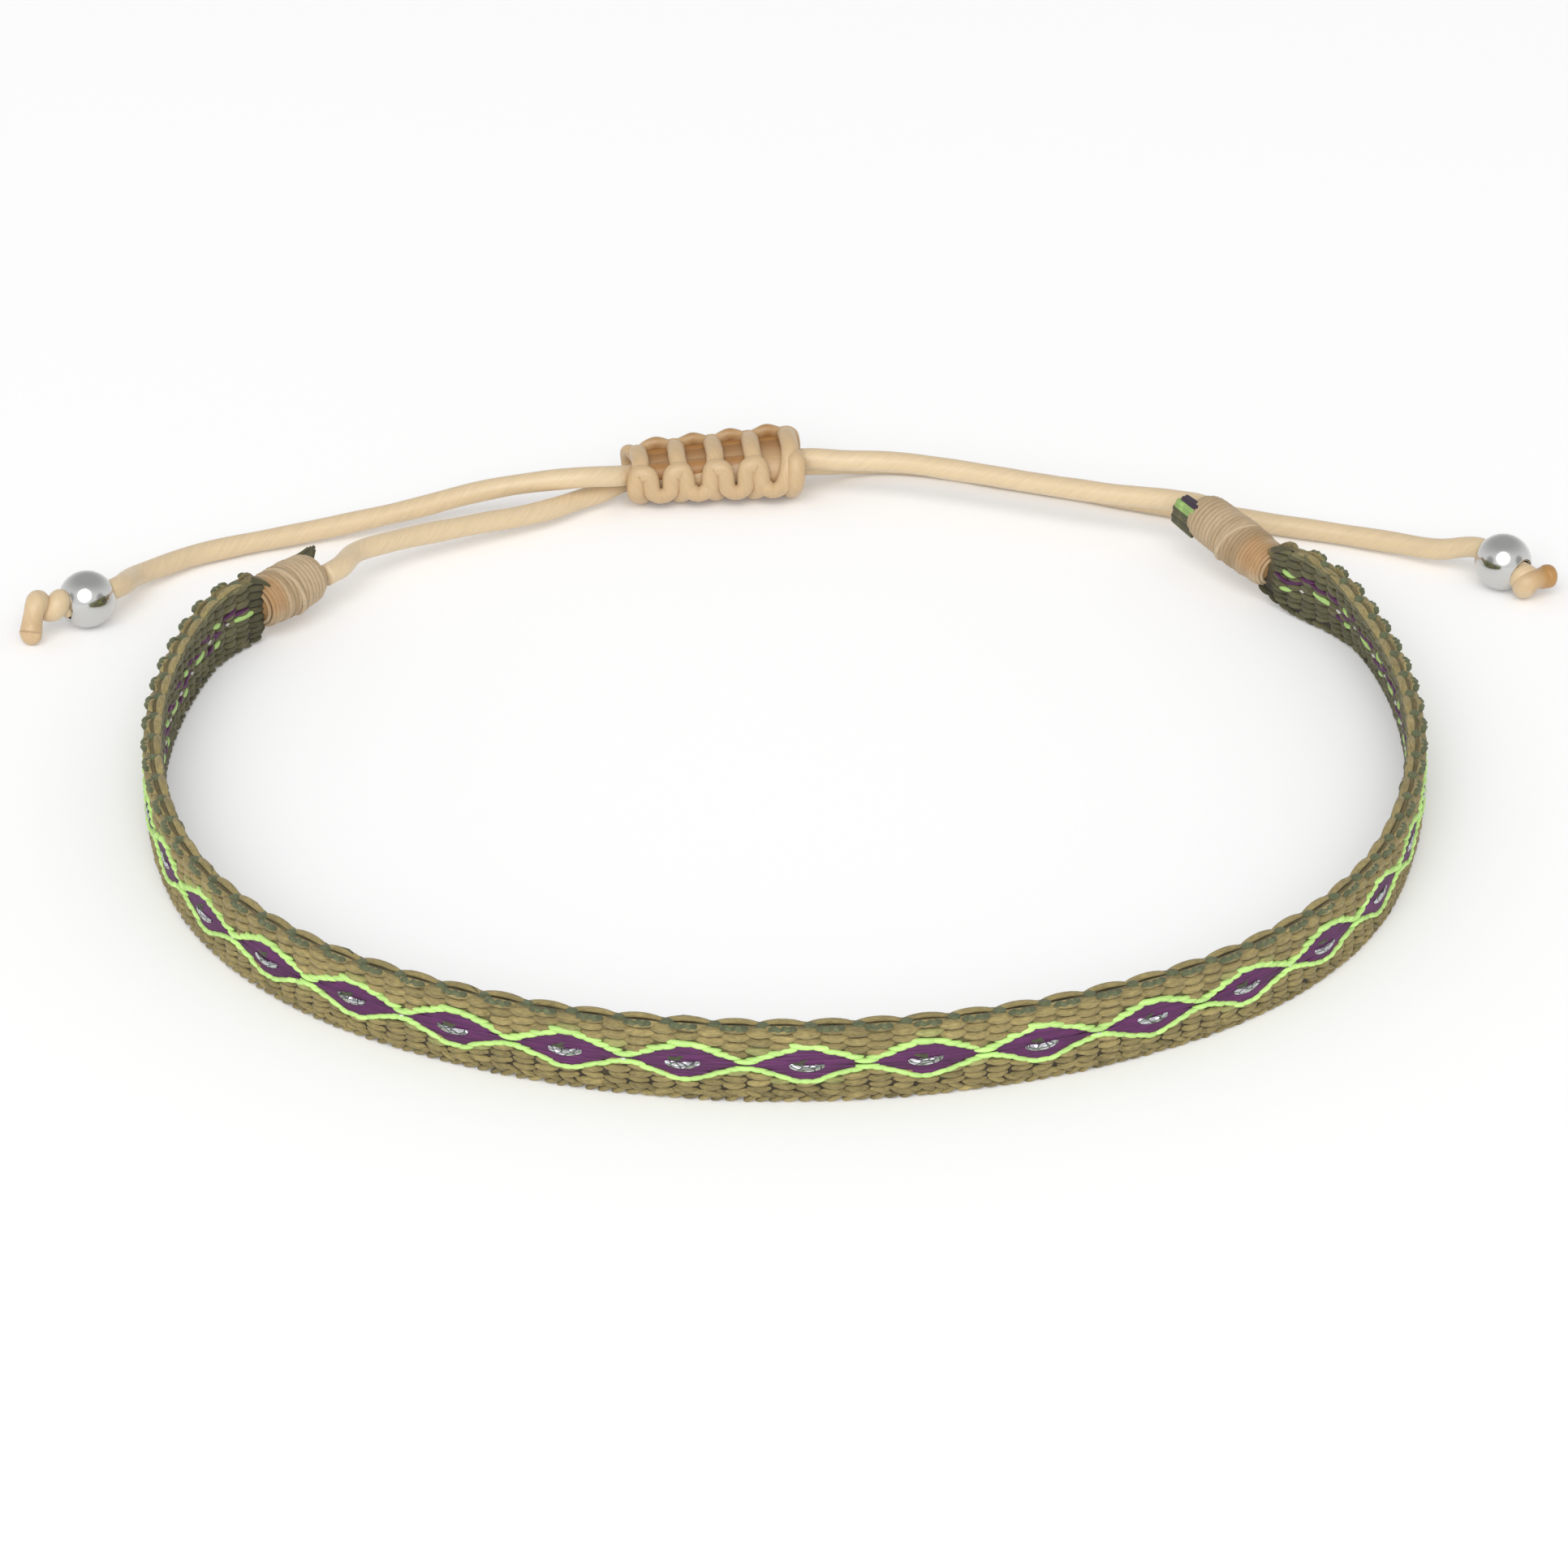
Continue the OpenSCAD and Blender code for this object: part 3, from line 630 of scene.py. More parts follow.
def side_point(side, s, v, d):
    x, y, heading = centre_line(side, s)
    lean, width, thickness = lean_and_gather(side, s)
    across = (v - BAND_W / 2) * width
    out = d * thickness
    lift = BAND_W / 2 * np.cos(lean) + BAND_T / 2 * np.sin(lean)
    level = np.cos(lean) * out - np.sin(lean) * across
    return np.stack([side["mirror"] * (x + np.sin(heading) * level),
                     y - np.cos(heading) * level,
                     lift + np.cos(lean) * across + np.sin(lean) * out], axis=-1)


def band_point(u, v, d):
    """Points in mm for arrays of band coordinates; u is negative on the left."""
    u, v, d = np.broadcast_arrays(u, v, d)
    return np.where((u < 0)[..., None], side_point(LEFT, np.abs(u), v, d),
                    side_point(RIGHT, np.abs(u), v, d))


print("front of the band in mm:", band_point(0.0, 0.0, BAND_T / 2).round(2))

# %% [markdown]
# ## One stitch, and hundreds of them
# On the face of a woven band each thread comes up, runs over one or more weft threads and dives
# again. What shows is a short spindle with its ends tucked under its neighbours. Such a spindle
# is a closed grid of rings between two poles. The same template serves for the olive stitches,
# the long purple floats and the green strokes: only its length, height, bulge, slope and dip
# change, as arrays with one entry for each stitch.

# %% Stitches as spindles
# Towards a wrap the stitches get darker over this length, down to this share of their colour:
# painted shade where the band is gathered into the wrap
SHADED_END = 1.8
SHADE_AT_WRAP = 0.35


def spindle(rings, around, fullness):
    """Closed spindle in local coordinates: t from -1 to 1 along it, an angle round it and a
    radius (1 - |t|^2.4)^fullness. Returns the three arrays and its faces."""
    t = -np.cos(np.pi * np.arange(1, rings + 1) / (rings + 1))
    angle = 2 * np.pi * np.arange(around) / around
    t_all = np.concatenate([[-1], np.repeat(t, around), [1]])
    angle_all = np.concatenate([[0], np.tile(angle, rings), [0]])
    radius = np.clip(1 - np.abs(t_all) ** 2.4, 0, 1) ** fullness
    tris = end_fans(around, 0, 1, rings * around + 1, 1 + (rings - 1) * around)
    return t_all, angle_all, radius, 1 + ring_quads(rings, around), tris


def stitches(u, v, length, height, bulge, lift, colour, slope=0, curve=0, dip=0, face=1,
             fullness=0.6, rings=6, around=8, seed=1):
    """Stitches on the band, one for each entry of the arrays. At t, from -1 to 1 along a stitch,
    its middle is at v plus the slope times the run plus curve t^2, and it lies lift minus
    dip t^2 above the band's middle, on the outer face (1) or the inner one (-1)."""
    columns = [np.atleast_1d(np.asarray(x, float)) for x in
               (u, v, length, height, bulge, lift, slope, curve, dip)]
    u, v, length, height, bulge, lift, slope, curve, dip = [
        x[:, None] for x in np.broadcast_arrays(*columns)]
    count = len(u)
    t, angle, radius, quads, tris = spindle(rings, around, fullness)
    run = t * length / 2
    across = height / 2 * radius * np.cos(angle)
    out = bulge * radius * np.sin(angle)
    points = band_point(u + run, v + slope * run + curve * t ** 2 + across,
                        face * (lift - dip * t ** 2 + out))
    offset = np.random.default_rng(seed).uniform(0, 40, (count, 1))
    yarn = np.stack(np.broadcast_arrays(run + offset, across + offset, out), -1)
    step = len(t) * np.arange(count)[:, None, None]
    if face < 0:
        quads, tris = quads[:, ::-1], tris[:, ::-1]
    # Painted shade: each stitch is darkened by its distance to the nearest wrap
    to_wrap = np.where(u < 0, band_length(LEFT) + u, band_length(RIGHT) - u)
    light = SHADE_AT_WRAP + (1 - SHADE_AT_WRAP) * np.clip(to_wrap / SHADED_END, 0, 1)
    colours = np.broadcast_to(np.asarray(colour, float), (count, 3)) * light
    return dict(points=points.reshape(-1, 3), yarn=yarn.reshape(-1, 3),
                quads=(quads + step).reshape(-1, 4), tris=(tris + step).reshape(-1, 3),
                tint=np.repeat(colours, len(t), axis=0))


# %% [markdown]
# ## The band's core
# Between the stitches of a dense weave one sees dark slits: the shadowed threads below. A slab
# under the stitches, painted dark as that shade, gives them, and closes the band for a look from
# any side. It is a rounded profile carried along the band, so it is a grid whose rows close on
# themselves.

# %% Core of the band
SLAB_SIDES = 20
# Above this height the core shows between the arches of the upper edge
CORE_TOP = 3.4


def band_slab(width, thickness, start, end, step):
    """Profile of two half circles joined by straight sides, carried along the band: v and d are
    the cosine and sine of the angle, pushed out to the slab's sides."""
    u = np.linspace(start, end, int((end - start) / step))[:, None]
    angle = 2 * np.pi * (np.arange(SLAB_SIDES) + 0.5) / SLAB_SIDES
    r = thickness / 2
    v = BAND_W / 2 + r * np.cos(angle) + np.sign(np.cos(angle)) * (width / 2 - r)
    d = r * np.sin(angle)
    yarn = np.stack(np.broadcast_arrays(u, v, d), -1)
    return closed_grid(band_point(u, v, d), yarn)


core = band_slab(width=3.5, thickness=0.56, start=-band_length(LEFT), end=band_length(RIGHT),
                 step=0.5)
# Painted shade on the core, and a darker olive above the core's top, where it shows between the arches
core_colour = np.where(core["yarn"][:, 1:2] > CORE_TOP, 0.6 * OLIVE, GAP_SHADE)
add_piece("band_core", tinted(core, core_colour), cotton, replaces=["band"])

# %% [markdown]
# ## The ground weave
# The olive stitches stand in columns along the band. Each column is moved up or down by half a
# stitch against the next, so the ends of the stitches tuck into the slits between their
# neighbours. The chart of one diamond, counted on the photograph, is five columns long. Where
# its green outline and purple heart come to the surface, the olive stitches are left out.

# %% Chart of the diamonds
PERIOD = 5.41
DIAMOND_PHASE = 1.0
COLUMN_PITCH = PERIOD / 5
ROWS = 10
# Heights of the rows, counted from the lower edge: they lie closer in the lower third
ROWS_AT = ([0, 3.5, 9], [0.2, 1.32, 3.74])
# Heights of the two green lines at distances from the middle of a diamond
LINE_AT = np.array([0, 0.45, 0.9, 1.35, 1.8, 2.25, 2.705])
UPPER_LINE = np.array([2.97, 2.88, 2.75, 2.62, 2.44, 2.27, 2.12])
LOWER_LINE = np.array([1.13, 1.17, 1.33, 1.51, 1.65, 1.76, 1.83])
# Below this height the lower edge has its own stitches
LOWEST_STITCH = 0.36
# Of the stitches this near to a green line, this share takes some of its colour
BESIDE_LINE = 0.36
GREENISH_SHARE = 0.2


def from_diamond(u):
    """Signed distance from the middle of the nearest diamond."""
    return (u - DIAMOND_PHASE + PERIOD / 2) % PERIOD - PERIOD / 2


def line_height(u, heights):
    return np.interp(np.abs(from_diamond(u)), LINE_AT, heights)


# %% Olive stitches on both faces
def ground(face, colour, seed):
    """Rows of olive stitches over one face, with small seeded differences between them. In the
    lower third they are smaller and a little darker, with painted shade."""
    rng = np.random.default_rng(seed)
    first = int(-(band_length(LEFT) - 0.3) / COLUMN_PITCH)
    last = int((band_length(RIGHT) - 0.3) / COLUMN_PITCH)
    column, row = [a.ravel() for a in np.meshgrid(np.arange(first, last + 1), np.arange(ROWS))]
    row = row + 0.5 * (column % 2)
    u = COLUMN_PITCH * column + rng.normal(0, 0.04, column.size)
    v = np.interp(row, ROWS_AT[0], ROWS_AT[1]) + rng.normal(0, 0.012, column.size)
    upper, lower = line_height(u, UPPER_LINE), line_height(u, LOWER_LINE)
    inside = (v < upper + 0.02) & (v > lower - 0.02)
    keep = (v > LOWEST_STITCH) & (row <= ROWS - 1) & (~inside if face > 0 else True)
    u, v, upper, lower = u[keep], v[keep], upper[keep], lower[keep]
    count = len(u)
    shade = rng.normal(1, 0.1, (count, 1)) * np.asarray(colour)
    beside = np.minimum(np.abs(v - upper), np.abs(v - lower)) < BESIDE_LINE
    green = (rng.random(count) < GREENISH_SHARE) & beside & (face > 0)
    shade = np.where(green[:, None], 0.85 * shade + 0.15 * GREEN, shade)
    low = np.clip((1.5 - v) / 0.5, 0, 1)
    # Painted shade: the lowest rows are darkened
    shade = shade * (1 - 0.1 * low[:, None])
    return stitches(u, v, length=(1.62 - 0.2 * low) * rng.normal(1, 0.05, count),
                    height=(0.45 - 0.1 * low) * rng.normal(1, 0.05, count), bulge=0.17,
                    lift=0.33 + rng.normal(0, 0.015, count), colour=shade,
                    slope=rng.normal(0, 0.04, count) * (1 + low), dip=0.22, face=face,
                    fullness=0.8, seed=seed)


add_piece("outer_ground", ground(1, OLIVE, 11), cotton)
add_piece("inner_ground", ground(-1, OLIVE_INSIDE_SHADED, 12), cotton)

# %% [markdown]
# ## Green outlines and purple hearts
# The diamonds are extra threads that come to the surface over several columns. The upper green
# line is made of short overlapping strokes, each less steep than the line, so its edge is
# stepped. The lower one runs smoothly. The purple heart is a stack of long floats, cut to the
# outline's width at each height. The chart below holds one diamond; adding an array of centres
# to it gives all of them at once.

# %% Chart of one diamond repeated along the band
CENTRES = DIAMOND_PHASE + PERIOD * np.arange(-14, 15)


def repeated(chart, jitter, seed, centres=CENTRES, margin=0.8):
    """All rows of the chart at all centres that the band reaches, as one array for each of its
    columns. The first column is the distance from the centre. The margin keeps them away from
    the band's ends."""
    table = np.tile(np.asarray(chart, float), (len(centres), 1))
    table[:, 0] += np.repeat(centres, len(chart))
    table[:, :2] += np.random.default_rng(seed).normal(0, jitter, table[:, :2].shape)
    u = table[:, 0]
    return table[(u > margin - band_length(LEFT)) & (u < band_length(RIGHT) - margin)].T


# Distance from the centre, height, length, thread height and slope of each green stroke
UPPER_STROKES = [(-0.15, 2.93, 1.7, 0.36, -0.06), (-0.8, 2.79, 1.05, 0.31, 0.1),
                 (-1.3, 2.63, 1.05, 0.29, 0.08), (-1.78, 2.46, 1.05, 0.28, 0.1),
                 (-2.25, 2.28, 1.05, 0.27, 0.14),
                 (0.62, 2.83, 1.1, 0.31, -0.12), (1.12, 2.68, 1.05, 0.3, -0.12),
                 (1.6, 2.52, 1.05, 0.28, -0.14), (2.05, 2.35, 1.05, 0.27, -0.14),
                 (2.705, 2.14, 1.35, 0.27, 0.0)]
LOWER_STROKES = [(0.0, 1.14, 0.95, 0.28, 0.0), (-0.5, 1.19, 1.1, 0.27, -0.2),
                 (-1.1, 1.4, 1.15, 0.27, -0.3), (-1.7, 1.6, 1.1, 0.27, -0.22),
                 (-2.2, 1.74, 1.0, 0.26, -0.12),
                 (0.5, 1.19, 1.1, 0.27, 0.2), (1.1, 1.4, 1.15, 0.27, 0.3),
                 (1.7, 1.6, 1.1, 0.27, 0.22), (2.2, 1.74, 1.0, 0.26, 0.12),
                 (2.705, 1.82, 1.3, 0.27, 0.0)]
u, v, length, height, slope = repeated(UPPER_STROKES + LOWER_STROKES, 0.02, 21)
shade = np.random.default_rng(22).normal(1, 0.07, (len(u), 1)) * GREEN
green_lines = stitches(u, v, length, 0.92 * height, 0.15, 0.42, shade, slope=slope, dip=0.15,
                       fullness=0.65, rings=8, seed=23)
add_piece("green_lines", green_lines, neon)

# %% Purple floats
HEART_ROWS = np.arange(1.34, 2.8, 0.165)
# A diamond is widest at this height: above it the upper line ends the floats, below it the lower
WIDEST_AT = 1.97
heart_reach = np.where(HEART_ROWS > WIDEST_AT,
                       np.interp(-(HEART_ROWS + 0.1), -UPPER_LINE, LINE_AT),
                       np.interp(HEART_ROWS - 0.1, LOWER_LINE, LINE_AT))
heart = [(0, row, 2 * reach + 0.3, 0.34)
         for row, reach in zip(HEART_ROWS, heart_reach) if reach > 0.3]
u, v, length, height = repeated(heart, 0.02, 31)
shade = np.random.default_rng(32).normal(1, 0.1, (len(u), 1)) * PURPLE
twist = np.random.default_rng(34).normal(0, 0.025, len(u))
floats = stitches(u, v, length, height, 0.08, 0.37, shade, slope=twist, dip=0.03, fullness=0.4,
                  rings=10, seed=33)
add_piece("purple_hearts", floats, silky)

# %% [markdown]
# ## Metal strip
# In each heart a thin flattened metal strip shows for a millimetre and a half. It bends like a
# smile, and it is crinkled from being pressed into the weave, so it glitters in small facets.
# Facets are hard to model at this size. A cell texture in the relief gives each patch of the
# strip its own slope, and a low roughness does the rest.

# %% Silver strips, with painted shade above them and painted glints at the crossings
def strip_finish():
    finish = Finish("metal_strip", Metallic=1.0, Roughness=0.36)
    yarn = finish.attribute("yarn", 1)
    patches = finish.stretched(yarn, (2.2, 5, 5))
    cells = finish.node("ShaderNodeTexVoronoi", {}, {"Vector": patches, "Scale": 1.0})
    crease_relief_and_shade = finish.node("ShaderNodeTexVoronoi", {"feature": "DISTANCE_TO_EDGE"},
                          {"Vector": patches, "Scale": 1.0}).between(0.0, 0.12)
    tint = finish.attribute("tint", 0)
    # The crease lines also darken the strip's colour: painted shade in the creases
    finish.set("Base Color", finish.dimmed(tint, 0.15 + 0.85 * crease_relief_and_shade))
    finish.bumped(cells + 0.3 * crease_relief_and_shade, 0.25 * MM)
    return finish.material


silver = strip_finish()
u, v, length, height = repeated([(-0.08, 1.86, 1.6, 0.36)], 0.05, 41)
strip_slope = np.random.default_rng(42).normal(0, 0.04, len(u))
strips = stitches(u, v, length, height, 0.05, 0.49, seen(212, 212, 218), slope=strip_slope,
                  curve=0.14, dip=0.03, fullness=0.3, rings=10, seed=43)
add_piece("silver_strips", strips, silver)
u, v, length, height, slope = repeated([(-0.4, 2.16, 0.8, 0.2, -0.1), (-0.2, 2.22, 0.5, 0.13, 0.3)],
                                       0.06, 44)
# Dark grey-green marks above each strip's upper end: painted shade of the strip
shade_beside_strips = stitches(u, v, length, height, 0.08, 0.43, 0.6 * WEFT, slope=slope, dip=0.05, seed=45)
# White specks at some crossings: bits of the metal strip, painted white as their glint
u, v, length, height = repeated([(2.68, 1.98, 0.26, 0.1)], 0.05, 46, CENTRES[::2])
glint_specks = stitches(u, v, length, height, 0.06, 0.46, SPECK_GLINT, seed=47)
add_piece("strip_shade_and_glints", joined([shade_beside_strips, glint_specks]), cotton)

# %% [markdown]
# ## The edges
# At the upper edge the weft turns back round the last warp threads. Olive arches two columns long
# go over it, with a darker grey-green thread coming out at the foot of each and a grainy patch
# of it below. A row of stitches behind the arches and one in front of the core close the edge.
# The lower edge is rougher: small slanted stitches that turn under.

# %% Arches along the upper edge and stitches along the lower one
def edge_places(pitch, offset):
    count = int((band_length(LEFT) + band_length(RIGHT)) / pitch)
    return -band_length(LEFT) + 0.4 + offset + pitch * np.arange(count)


ARCH_PITCH = 2 * COLUMN_PITCH
arch_u = edge_places(ARCH_PITCH, 0.4)
rng = np.random.default_rng(51)
jitter = rng.normal(0, 0.03, (4, len(arch_u)))
shade = rng.normal(1, 0.06, (len(arch_u), 1)) * OLIVE
arches = stitches(arch_u + jitter[0], 3.89 + jitter[1] / 3, 2.4, 0.22, 0.2, -0.24, shade,
                  curve=-0.18, fullness=0.4, rings=10, around=12, seed=52)
feet = stitches(arch_u - 0.88 + jitter[2], 3.79, 0.7, 0.27, 0.28, -0.02, WEFT,
                curve=-0.06, fullness=0.5, rings=6, around=10, seed=53)
patches = [stitches(arch_u + shift + jitter[3], 3.84, 0.4, 0.25, 0.15, lift + 0.27, tone * WEFT,
                    slope=slope, dip=0.04, seed=54 + i)
           for i, (shift, lift, tone, slope) in enumerate(
               [(-0.48, 0.1, 0.9, 0.3), (-0.26, 0.16, 1.15, -0.2), (-0.04, 0.1, 0.95, 0.3),
                (0.2, 0.17, 1.2, -0.2), (0.42, 0.1, 0.85, -0.1)])]
rim_u = edge_places(COLUMN_PITCH, 0.1)
tone = rng.normal(0.9, 0.08, (len(rim_u), 1))
rims = stitches(rim_u, 3.68, 1.4, 0.26, 0.14, -0.34, tone * (0.4 * OLIVE + 0.6 * WEFT),
                curve=-0.05, fullness=0.5, rings=6, around=10, seed=58)
fills = stitches(rim_u + 0.3, 3.69, 1.5, 0.22, 0.14, 0.22, tone * 0.9 * OLIVE, fullness=0.5, seed=63)
add_piece("upper_edge", joined([arches, feet, rims, fills] + patches), cotton)

low_u = edge_places(0.6 * COLUMN_PITCH, 0.2)
lower_edge = []
for i, (height, slope, lift, bulge) in enumerate([(0.17, 0.3, 0.12, 0.3), (0.42, -0.3, 0.22, 0.24),
                                                  (0.2, 0.2, -0.18, 0.26)]):
    # Painted shade: the lower edge's stitches are darker than the olive, and the inner row takes the
    # shaded inner olive
    shade = rng.normal(0.85, 0.13, (len(low_u), 1)) * (OLIVE if lift > 0 else OLIVE_INSIDE_SHADED)
    lean = slope + rng.normal(0, 0.12, len(low_u))
    lower_edge.append(stitches(low_u + 0.2 * i + rng.normal(0, 0.05, len(low_u)), height, 0.84,
                               0.3, bulge, lift, shade, slope=lean, fullness=0.55, around=10,
                               seed=59 + i))
add_piece("lower_edge", joined(lower_edge), cotton)

# %% [markdown]
# ## The inner face
# On the inside the pattern threads run loose behind the ground. What shows there is the
# outline's reverse: long green dashes, pairs of short ones, and purple threads that cross
# between them. It is darker because it lies in the loop's own shade.

# %% Reverse of the diamonds
INNER_GREEN = [(0.0, 1.95, 2.0, 0.34, 0.03), (2.6, 2.5, 1.1, 0.3, 0.12),
               (2.8, 1.5, 1.1, 0.28, -0.12)]
INNER_PURPLE = [(2.4, 2.02, 1.7, 0.26, -0.28), (2.9, 2.0, 1.4, 0.24, 0.3),
                (0.3, 2.28, 1.7, 0.2, 0.03), (-1.3, 2.55, 1.5, 0.24, 0.15),
                (1.3, 2.6, 1.3, 0.22, -0.1), (-1.6, 1.55, 1.2, 0.22, -0.1)]
u, v, length, height, slope = repeated(INNER_GREEN, 0.05, 61)
dashes = stitches(u, v, length, height, 0.12, 0.42, 0.75 * GREEN, slope=slope, dip=0.1, face=-1,
                  rings=8, seed=62)
add_piece("inner_green", dashes, neon)
u, v, length, height, slope = repeated(INNER_PURPLE, 0.07, 63)
crosses = stitches(u, v, length, height, 0.11, 0.41, 0.9 * PURPLE, slope=slope, dip=0.08, face=-1,
                   rings=8, seed=64)
add_piece("inner_purple", crosses, silky)
# Bits of metal strip on the inner face, painted whitish as their glint
u, v, length, height = repeated([(-1.6, 2.05, 0.5, 0.16), (1.5, 2.0, 0.35, 0.13)], 0.08, 65,
                               margin=3.0)
inner_glint_specks = stitches(u, v, length, height, 0.08, 0.44, 0.8 * SPECK_GLINT, face=-1, seed=66)
add_piece("inner_glint_specks", inner_glint_specks, cotton)

# %% [markdown]
# ## The whipped ends
# Thread is wound side by side round the gathered end of the band and the tucked cord. The wound
# thread is one tube along a helix. Its radius swells in the middle, and its spacing wanders a
# little. A body inside it closes the slits between the turns. At the far end the band's
# last threads stick out as a short frayed stub.

# %% Directions of a wrap
def wrap_frame(side):
    """Start of the wrap's axis, the axis, the level direction away from the wrist and the
    direction that is square to both. The wrap starts a little over the band."""
    x, y, heading = centre_line(side, np.array(band_length(side)))
    rise = np.radians(side["rise"])
    mirror = side["mirror"]
    axis = np.array([mirror * np.cos(heading) * np.cos(rise), np.sin(heading) * np.cos(rise),
                     np.sin(rise)])
    outward = np.array([mirror * np.sin(heading), -np.cos(heading), 0])
    upward = np.cross(outward, axis) * mirror
    start = np.array([mirror * x, y, BAND_W / 2]) - side["wrap_back"] * axis
    return start, axis, outward, upward


def wrap_radius(side, share):
    """Belly of the bundle under the thread. Each end closes in like a quarter circle."""
    start, end = np.clip((share + 0.05) / 0.11, 0, 1), np.clip((1 - share) / 0.17, 0, 1)
    closing = np.sqrt(1 - (1 - start) ** 2) * np.sqrt(1 - (1 - end) ** 2)
    return (side["wrap_r"] + 0.12 * np.sin(np.pi * share)) * (0.5 + 0.5 * closing)


def round_the_axis(side, share, angle, radius):
    """Points at a share of the wrap's length, an angle round its axis and a radius."""
    start, axis, outward, upward = wrap_frame(side)
    share, angle, radius = [x[..., None] for x in np.broadcast_arrays(share, angle, radius)]
    return (start + share * side["wrap_len"] * axis
            + radius * (np.cos(angle) * outward + np.sin(angle) * upward))


# %% Wound thread
THREAD_R = 0.125
THREAD_SIDES = 8
TURN_SPACING = 1.8 * THREAD_R
POINTS_PER_TURN = 26
# Places along a wrap that have a tone and a bulge of their own
WRAP_PLACES = 14
# Angle round a wrap's axis of the side that the photograph shows
FACING = np.radians(140)
BODY_SIDES = 24


def thread_round(side, share, angle, radius):
    """Thread along a path round the axis; its flat side lies on the bundle."""
    path = round_the_axis(side, share, angle, radius)
    guide = path - round_the_axis(side, share, angle, 0.0)
    return tube(path, THREAD_R * 0.8, THREAD_R * 1.15, guide, sides=THREAD_SIDES, twist=3)


def wound_thread(side, seed):
    """Helix of turns side by side, closest at the start, where they close in on the band. They
    come in bands of paler and darker thread. Near the band, on the side that the photograph
    shows, the thread is stained warmer by the cord."""
    rng = np.random.default_rng(seed)
    turns = side["wrap_len"] / TURN_SPACING
    turned = np.linspace(0, 1, int(turns * POINTS_PER_TURN))
    share = -0.048 + 1.038 * turned ** 1.22
    places = np.linspace(0, 1, WRAP_PLACES)
    wander = np.interp(share, np.linspace(0, 1, 50), rng.normal(0, 0.004, 50))
    bulge = np.interp(share, places, rng.normal(0, 0.02, WRAP_PLACES))
    radius = wrap_radius(side, share) + 0.09 + bulge
    angle = 2 * np.pi * turns * turned
    shape = thread_round(side, share + wander * turned, angle, radius)
    tone = np.interp(share + 0.06 * np.cos(angle - 1), places, rng.random(WRAP_PLACES))[:, None]
    colour = PALE_THREAD + tone * (TAN_THREAD - PALE_THREAD)
    warm = (np.clip(1.5 - 8 * np.abs(share - 0.08), 0, 0.85)
            * np.clip(2 * np.cos(angle - FACING) - 0.8, 0, 1))
    rings = np.repeat(colour + warm[:, None] * (WARM_THREAD - colour), THREAD_SIDES, axis=0)
    shape["tint"] = np.concatenate([rings, rings[:1], rings[-1:]])
    return shape


def crossing_turn(side, first, last, turns, phase):
    """A turn of thread that lies over the others at a slant and dives at both ends."""
    t = np.linspace(0, 1, int(turns * 30))
    share = first + (last - first) * t
    radius = wrap_radius(side, share) + 0.19 - 0.22 * (1 - np.sin(np.pi * t) ** 0.5)
    return tinted(thread_round(side, share, phase + 2 * np.pi * turns * t, radius), PALE_THREAD)


def wrap_body(side):
    """Surface of the bundle, as a profile turned round the wrap's axis."""
    share = np.linspace(-0.05, 1, 36)[:, None]
    angle = -side["mirror"] * 2 * np.pi * np.arange(BODY_SIDES) / BODY_SIDES
    points = round_the_axis(side, share, angle, wrap_radius(side, share))
    return tinted(closed_grid(points, points.copy()), 0.9 * WARM_THREAD)


for name, side, seed in (("left", LEFT, 71), ("right", RIGHT, 72)):
    add_piece(name + "_wrap_body", wrap_body(side), wound,
              replaces=[name + "_wrap"])
    turns = [wound_thread(side, seed), crossing_turn(side, 0.3, 0.66, 0.9, 0.6)]
    add_piece(name + "_wound_thread", joined(turns), wound)

# %% [markdown]
# ## The band's loose ends
# The last threads of the band stick out of the far end of each wrap. On the left they are pinched
# to a point. On the right they keep the weave's flat stack, and the pattern's purple and green
# threads lie on top. Each thread is a short tube of its own.

# %% Stubs beyond the wraps
def stub(side, rows):
    """Tubes along the wrap's axis. A row gives the thread's place outwards and upwards where it
    leaves the wrap, the same at its tip, its length, its first and last radius and its colour."""
    start, axis, outward, upward = wrap_frame(side)
    base = start + side["wrap_len"] * axis + side["tip_out"] * outward
    threads = []
    for out, up, out_end, up_end, length, first, last, colour in rows:
        ends = [base - 0.7 * axis + out * outward + up * upward,
                base + 0.4 * length * axis + (0.7 * out + 0.3 * out_end) * outward
                + (0.6 * up + 0.4 * up_end) * upward,
                base + length * axis + out_end * outward + up_end * upward]
        path = smooth_path(ends, 0.1)
        size = np.linspace(first, last, len(path))
        threads.append(tinted(tube(path, size, 1.3 * size, outward, sides=8, twist=4), colour))
    return joined(threads)


rng = np.random.default_rng(81)
DARK_OLIVE = seen(82, 80, 54)
pinched = [(0.4 * np.cos(a), 0.2 + 0.45 * np.sin(a), 0.12 * np.cos(a) - 0.05,
            0.95 + 0.1 * np.sin(a), 0.8 + 0.15 * np.cos(3 * a), 0.27, 0.08,
            DARK_OLIVE * rng.normal(1, 0.15)) for a in np.arange(0, 6) * np.pi / 3]
pinched.append((0.0, 0.2, 0.0, 0.85, 0.7, 0.45, 0.12, DARK_OLIVE))
add_piece("left_band_end", stub(LEFT, pinched), cotton)

